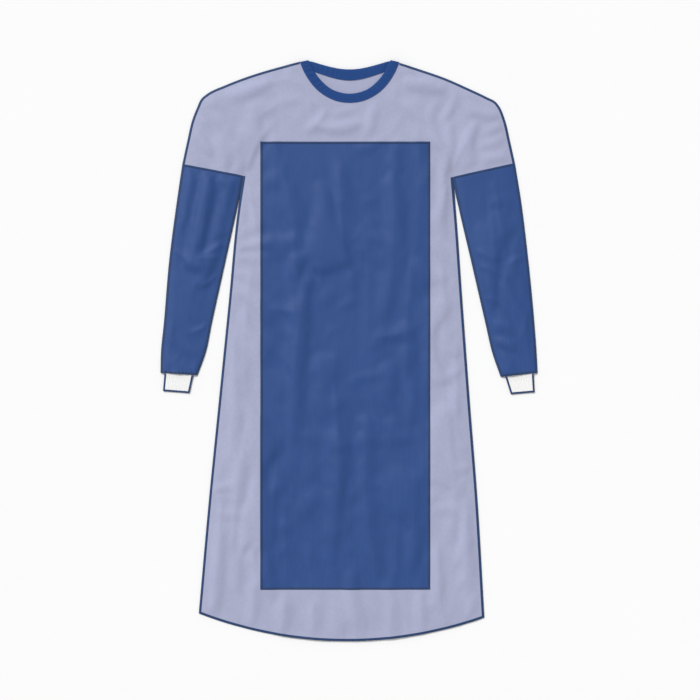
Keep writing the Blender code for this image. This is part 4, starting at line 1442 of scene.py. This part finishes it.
def cuff_sewing(arm, material):
    """Thread round each layer of a cuff's hem and down both of its folds."""
    top, hem = arm.cuff
    middle = (top + hem).mean(axis=0) / 2.0
    across = unit(top[1] - top[0])
    down = np.array((across[1], -across[0]))
    down *= -np.sign(down[1])

    def knit_low(xy):
        """Underside of the cuff, which comes down to the floor past the sleeve."""
        return LEVEL * (1.0 - smoothstep(0.0, CUFF_SETTLE, (xy - top[0]) @ down)) + KNIT_LOW

    def knit_top(xy):
        return knit_low(xy) + CLOSED + RIB_RISE * KNIT_RIB + KNIT_OVER

    end = inset_ends(hem, CUFF_ENDS_INSET)
    upper = (level_at(LEVEL), knit_top)
    lower = (level_at(KNIT_UNDER), level_at(CLOTH))
    fold = (knit_low, knit_top)
    return [
        overlock(f"cuff_{arm.side}_{place}_thread", line, middle, faces, material, CUFF_OVERLOCK,
                 least, THREAD_OVER + over)
        for place, line, faces, least, over in (
            ("hem", end, upper, LEAST_HEIGHT, HEM_OVER),
            ("under", end, lower, KNIT_LOW, 0.0),
            ("outer", np.array([top[0], hem[0]]), fold, LEAST_HEIGHT, 0.0),
            ("inner", np.array([top[1], hem[1]]), fold, LEAST_HEIGHT, 0.0),
        )
    ]


def inset_ends(line, inset):
    """A straight line made shorter by inset at both ends."""
    ahead = unit(line[1] - line[0])
    return np.array([line[0] + ahead * inset, line[1] - ahead * inset])


def add_floor():
    bpy.ops.mesh.primitive_plane_add(size=FLOOR_SIZE, location=(0.0, 0.0, -FLOOR_DROP * MM))
    floor = bpy.context.object
    floor.name = "floor"
    floor.data.materials.append(new_material(FLOOR))


def add_light():
    world = bpy.data.worlds.new("studio")
    world.use_nodes = True
    sky = world.node_tree.nodes["Background"]
    sky.inputs["Color"].default_value = (1.0, 1.0, 1.0, 1.0)
    sky.inputs["Strength"].default_value = SKY_STRENGTH
    bpy.context.scene.world = world
    sun = bpy.data.objects.new("softbox", bpy.data.lights.new("softbox", "SUN"))
    sun.data.energy = SUN_STRENGTH
    sun.data.angle = math.radians(SUN_ANGLE)
    up = math.radians(SUN_ELEVATION)
    bearing = math.radians(SUN_BEARING)
    level = math.cos(up)
    from_sun = Vector((math.sin(bearing) * level, math.cos(bearing) * level, math.sin(up)))
    sun.rotation_mode = "QUATERNION"
    sun.rotation_quaternion = from_sun.to_track_quat("Z", "Y")
    bpy.context.scene.collection.objects.link(sun)
    bpy.context.scene.view_settings.view_transform = "Standard"


def add_camera():
    camera = bpy.data.objects.new("camera", bpy.data.cameras.new("camera"))
    camera.data.lens = LENS
    camera.data.sensor_width = SENSOR
    height = VIEW_WIDTH * LENS / SENSOR + CLOTH_TOP
    camera.location = (VIEW_MIDDLE[0] * MM, VIEW_MIDDLE[1] * MM, height * MM)
    bpy.context.scene.collection.objects.link(camera)
    bpy.context.scene.camera = camera


def build():
    body, barrier, tape, sewing, knit = (
        new_material(look) for look in (BODY, BARRIER, TAPE, SEWING, KNIT)
    )
    add_floor()
    add_body(body, barrier)
    add_sleeves(barrier, knit)
    add_bindings(tape, new_material(STITCHING))
    add_ties(body)
    add_sewing(sewing)
    add_light()
    add_camera()


build()
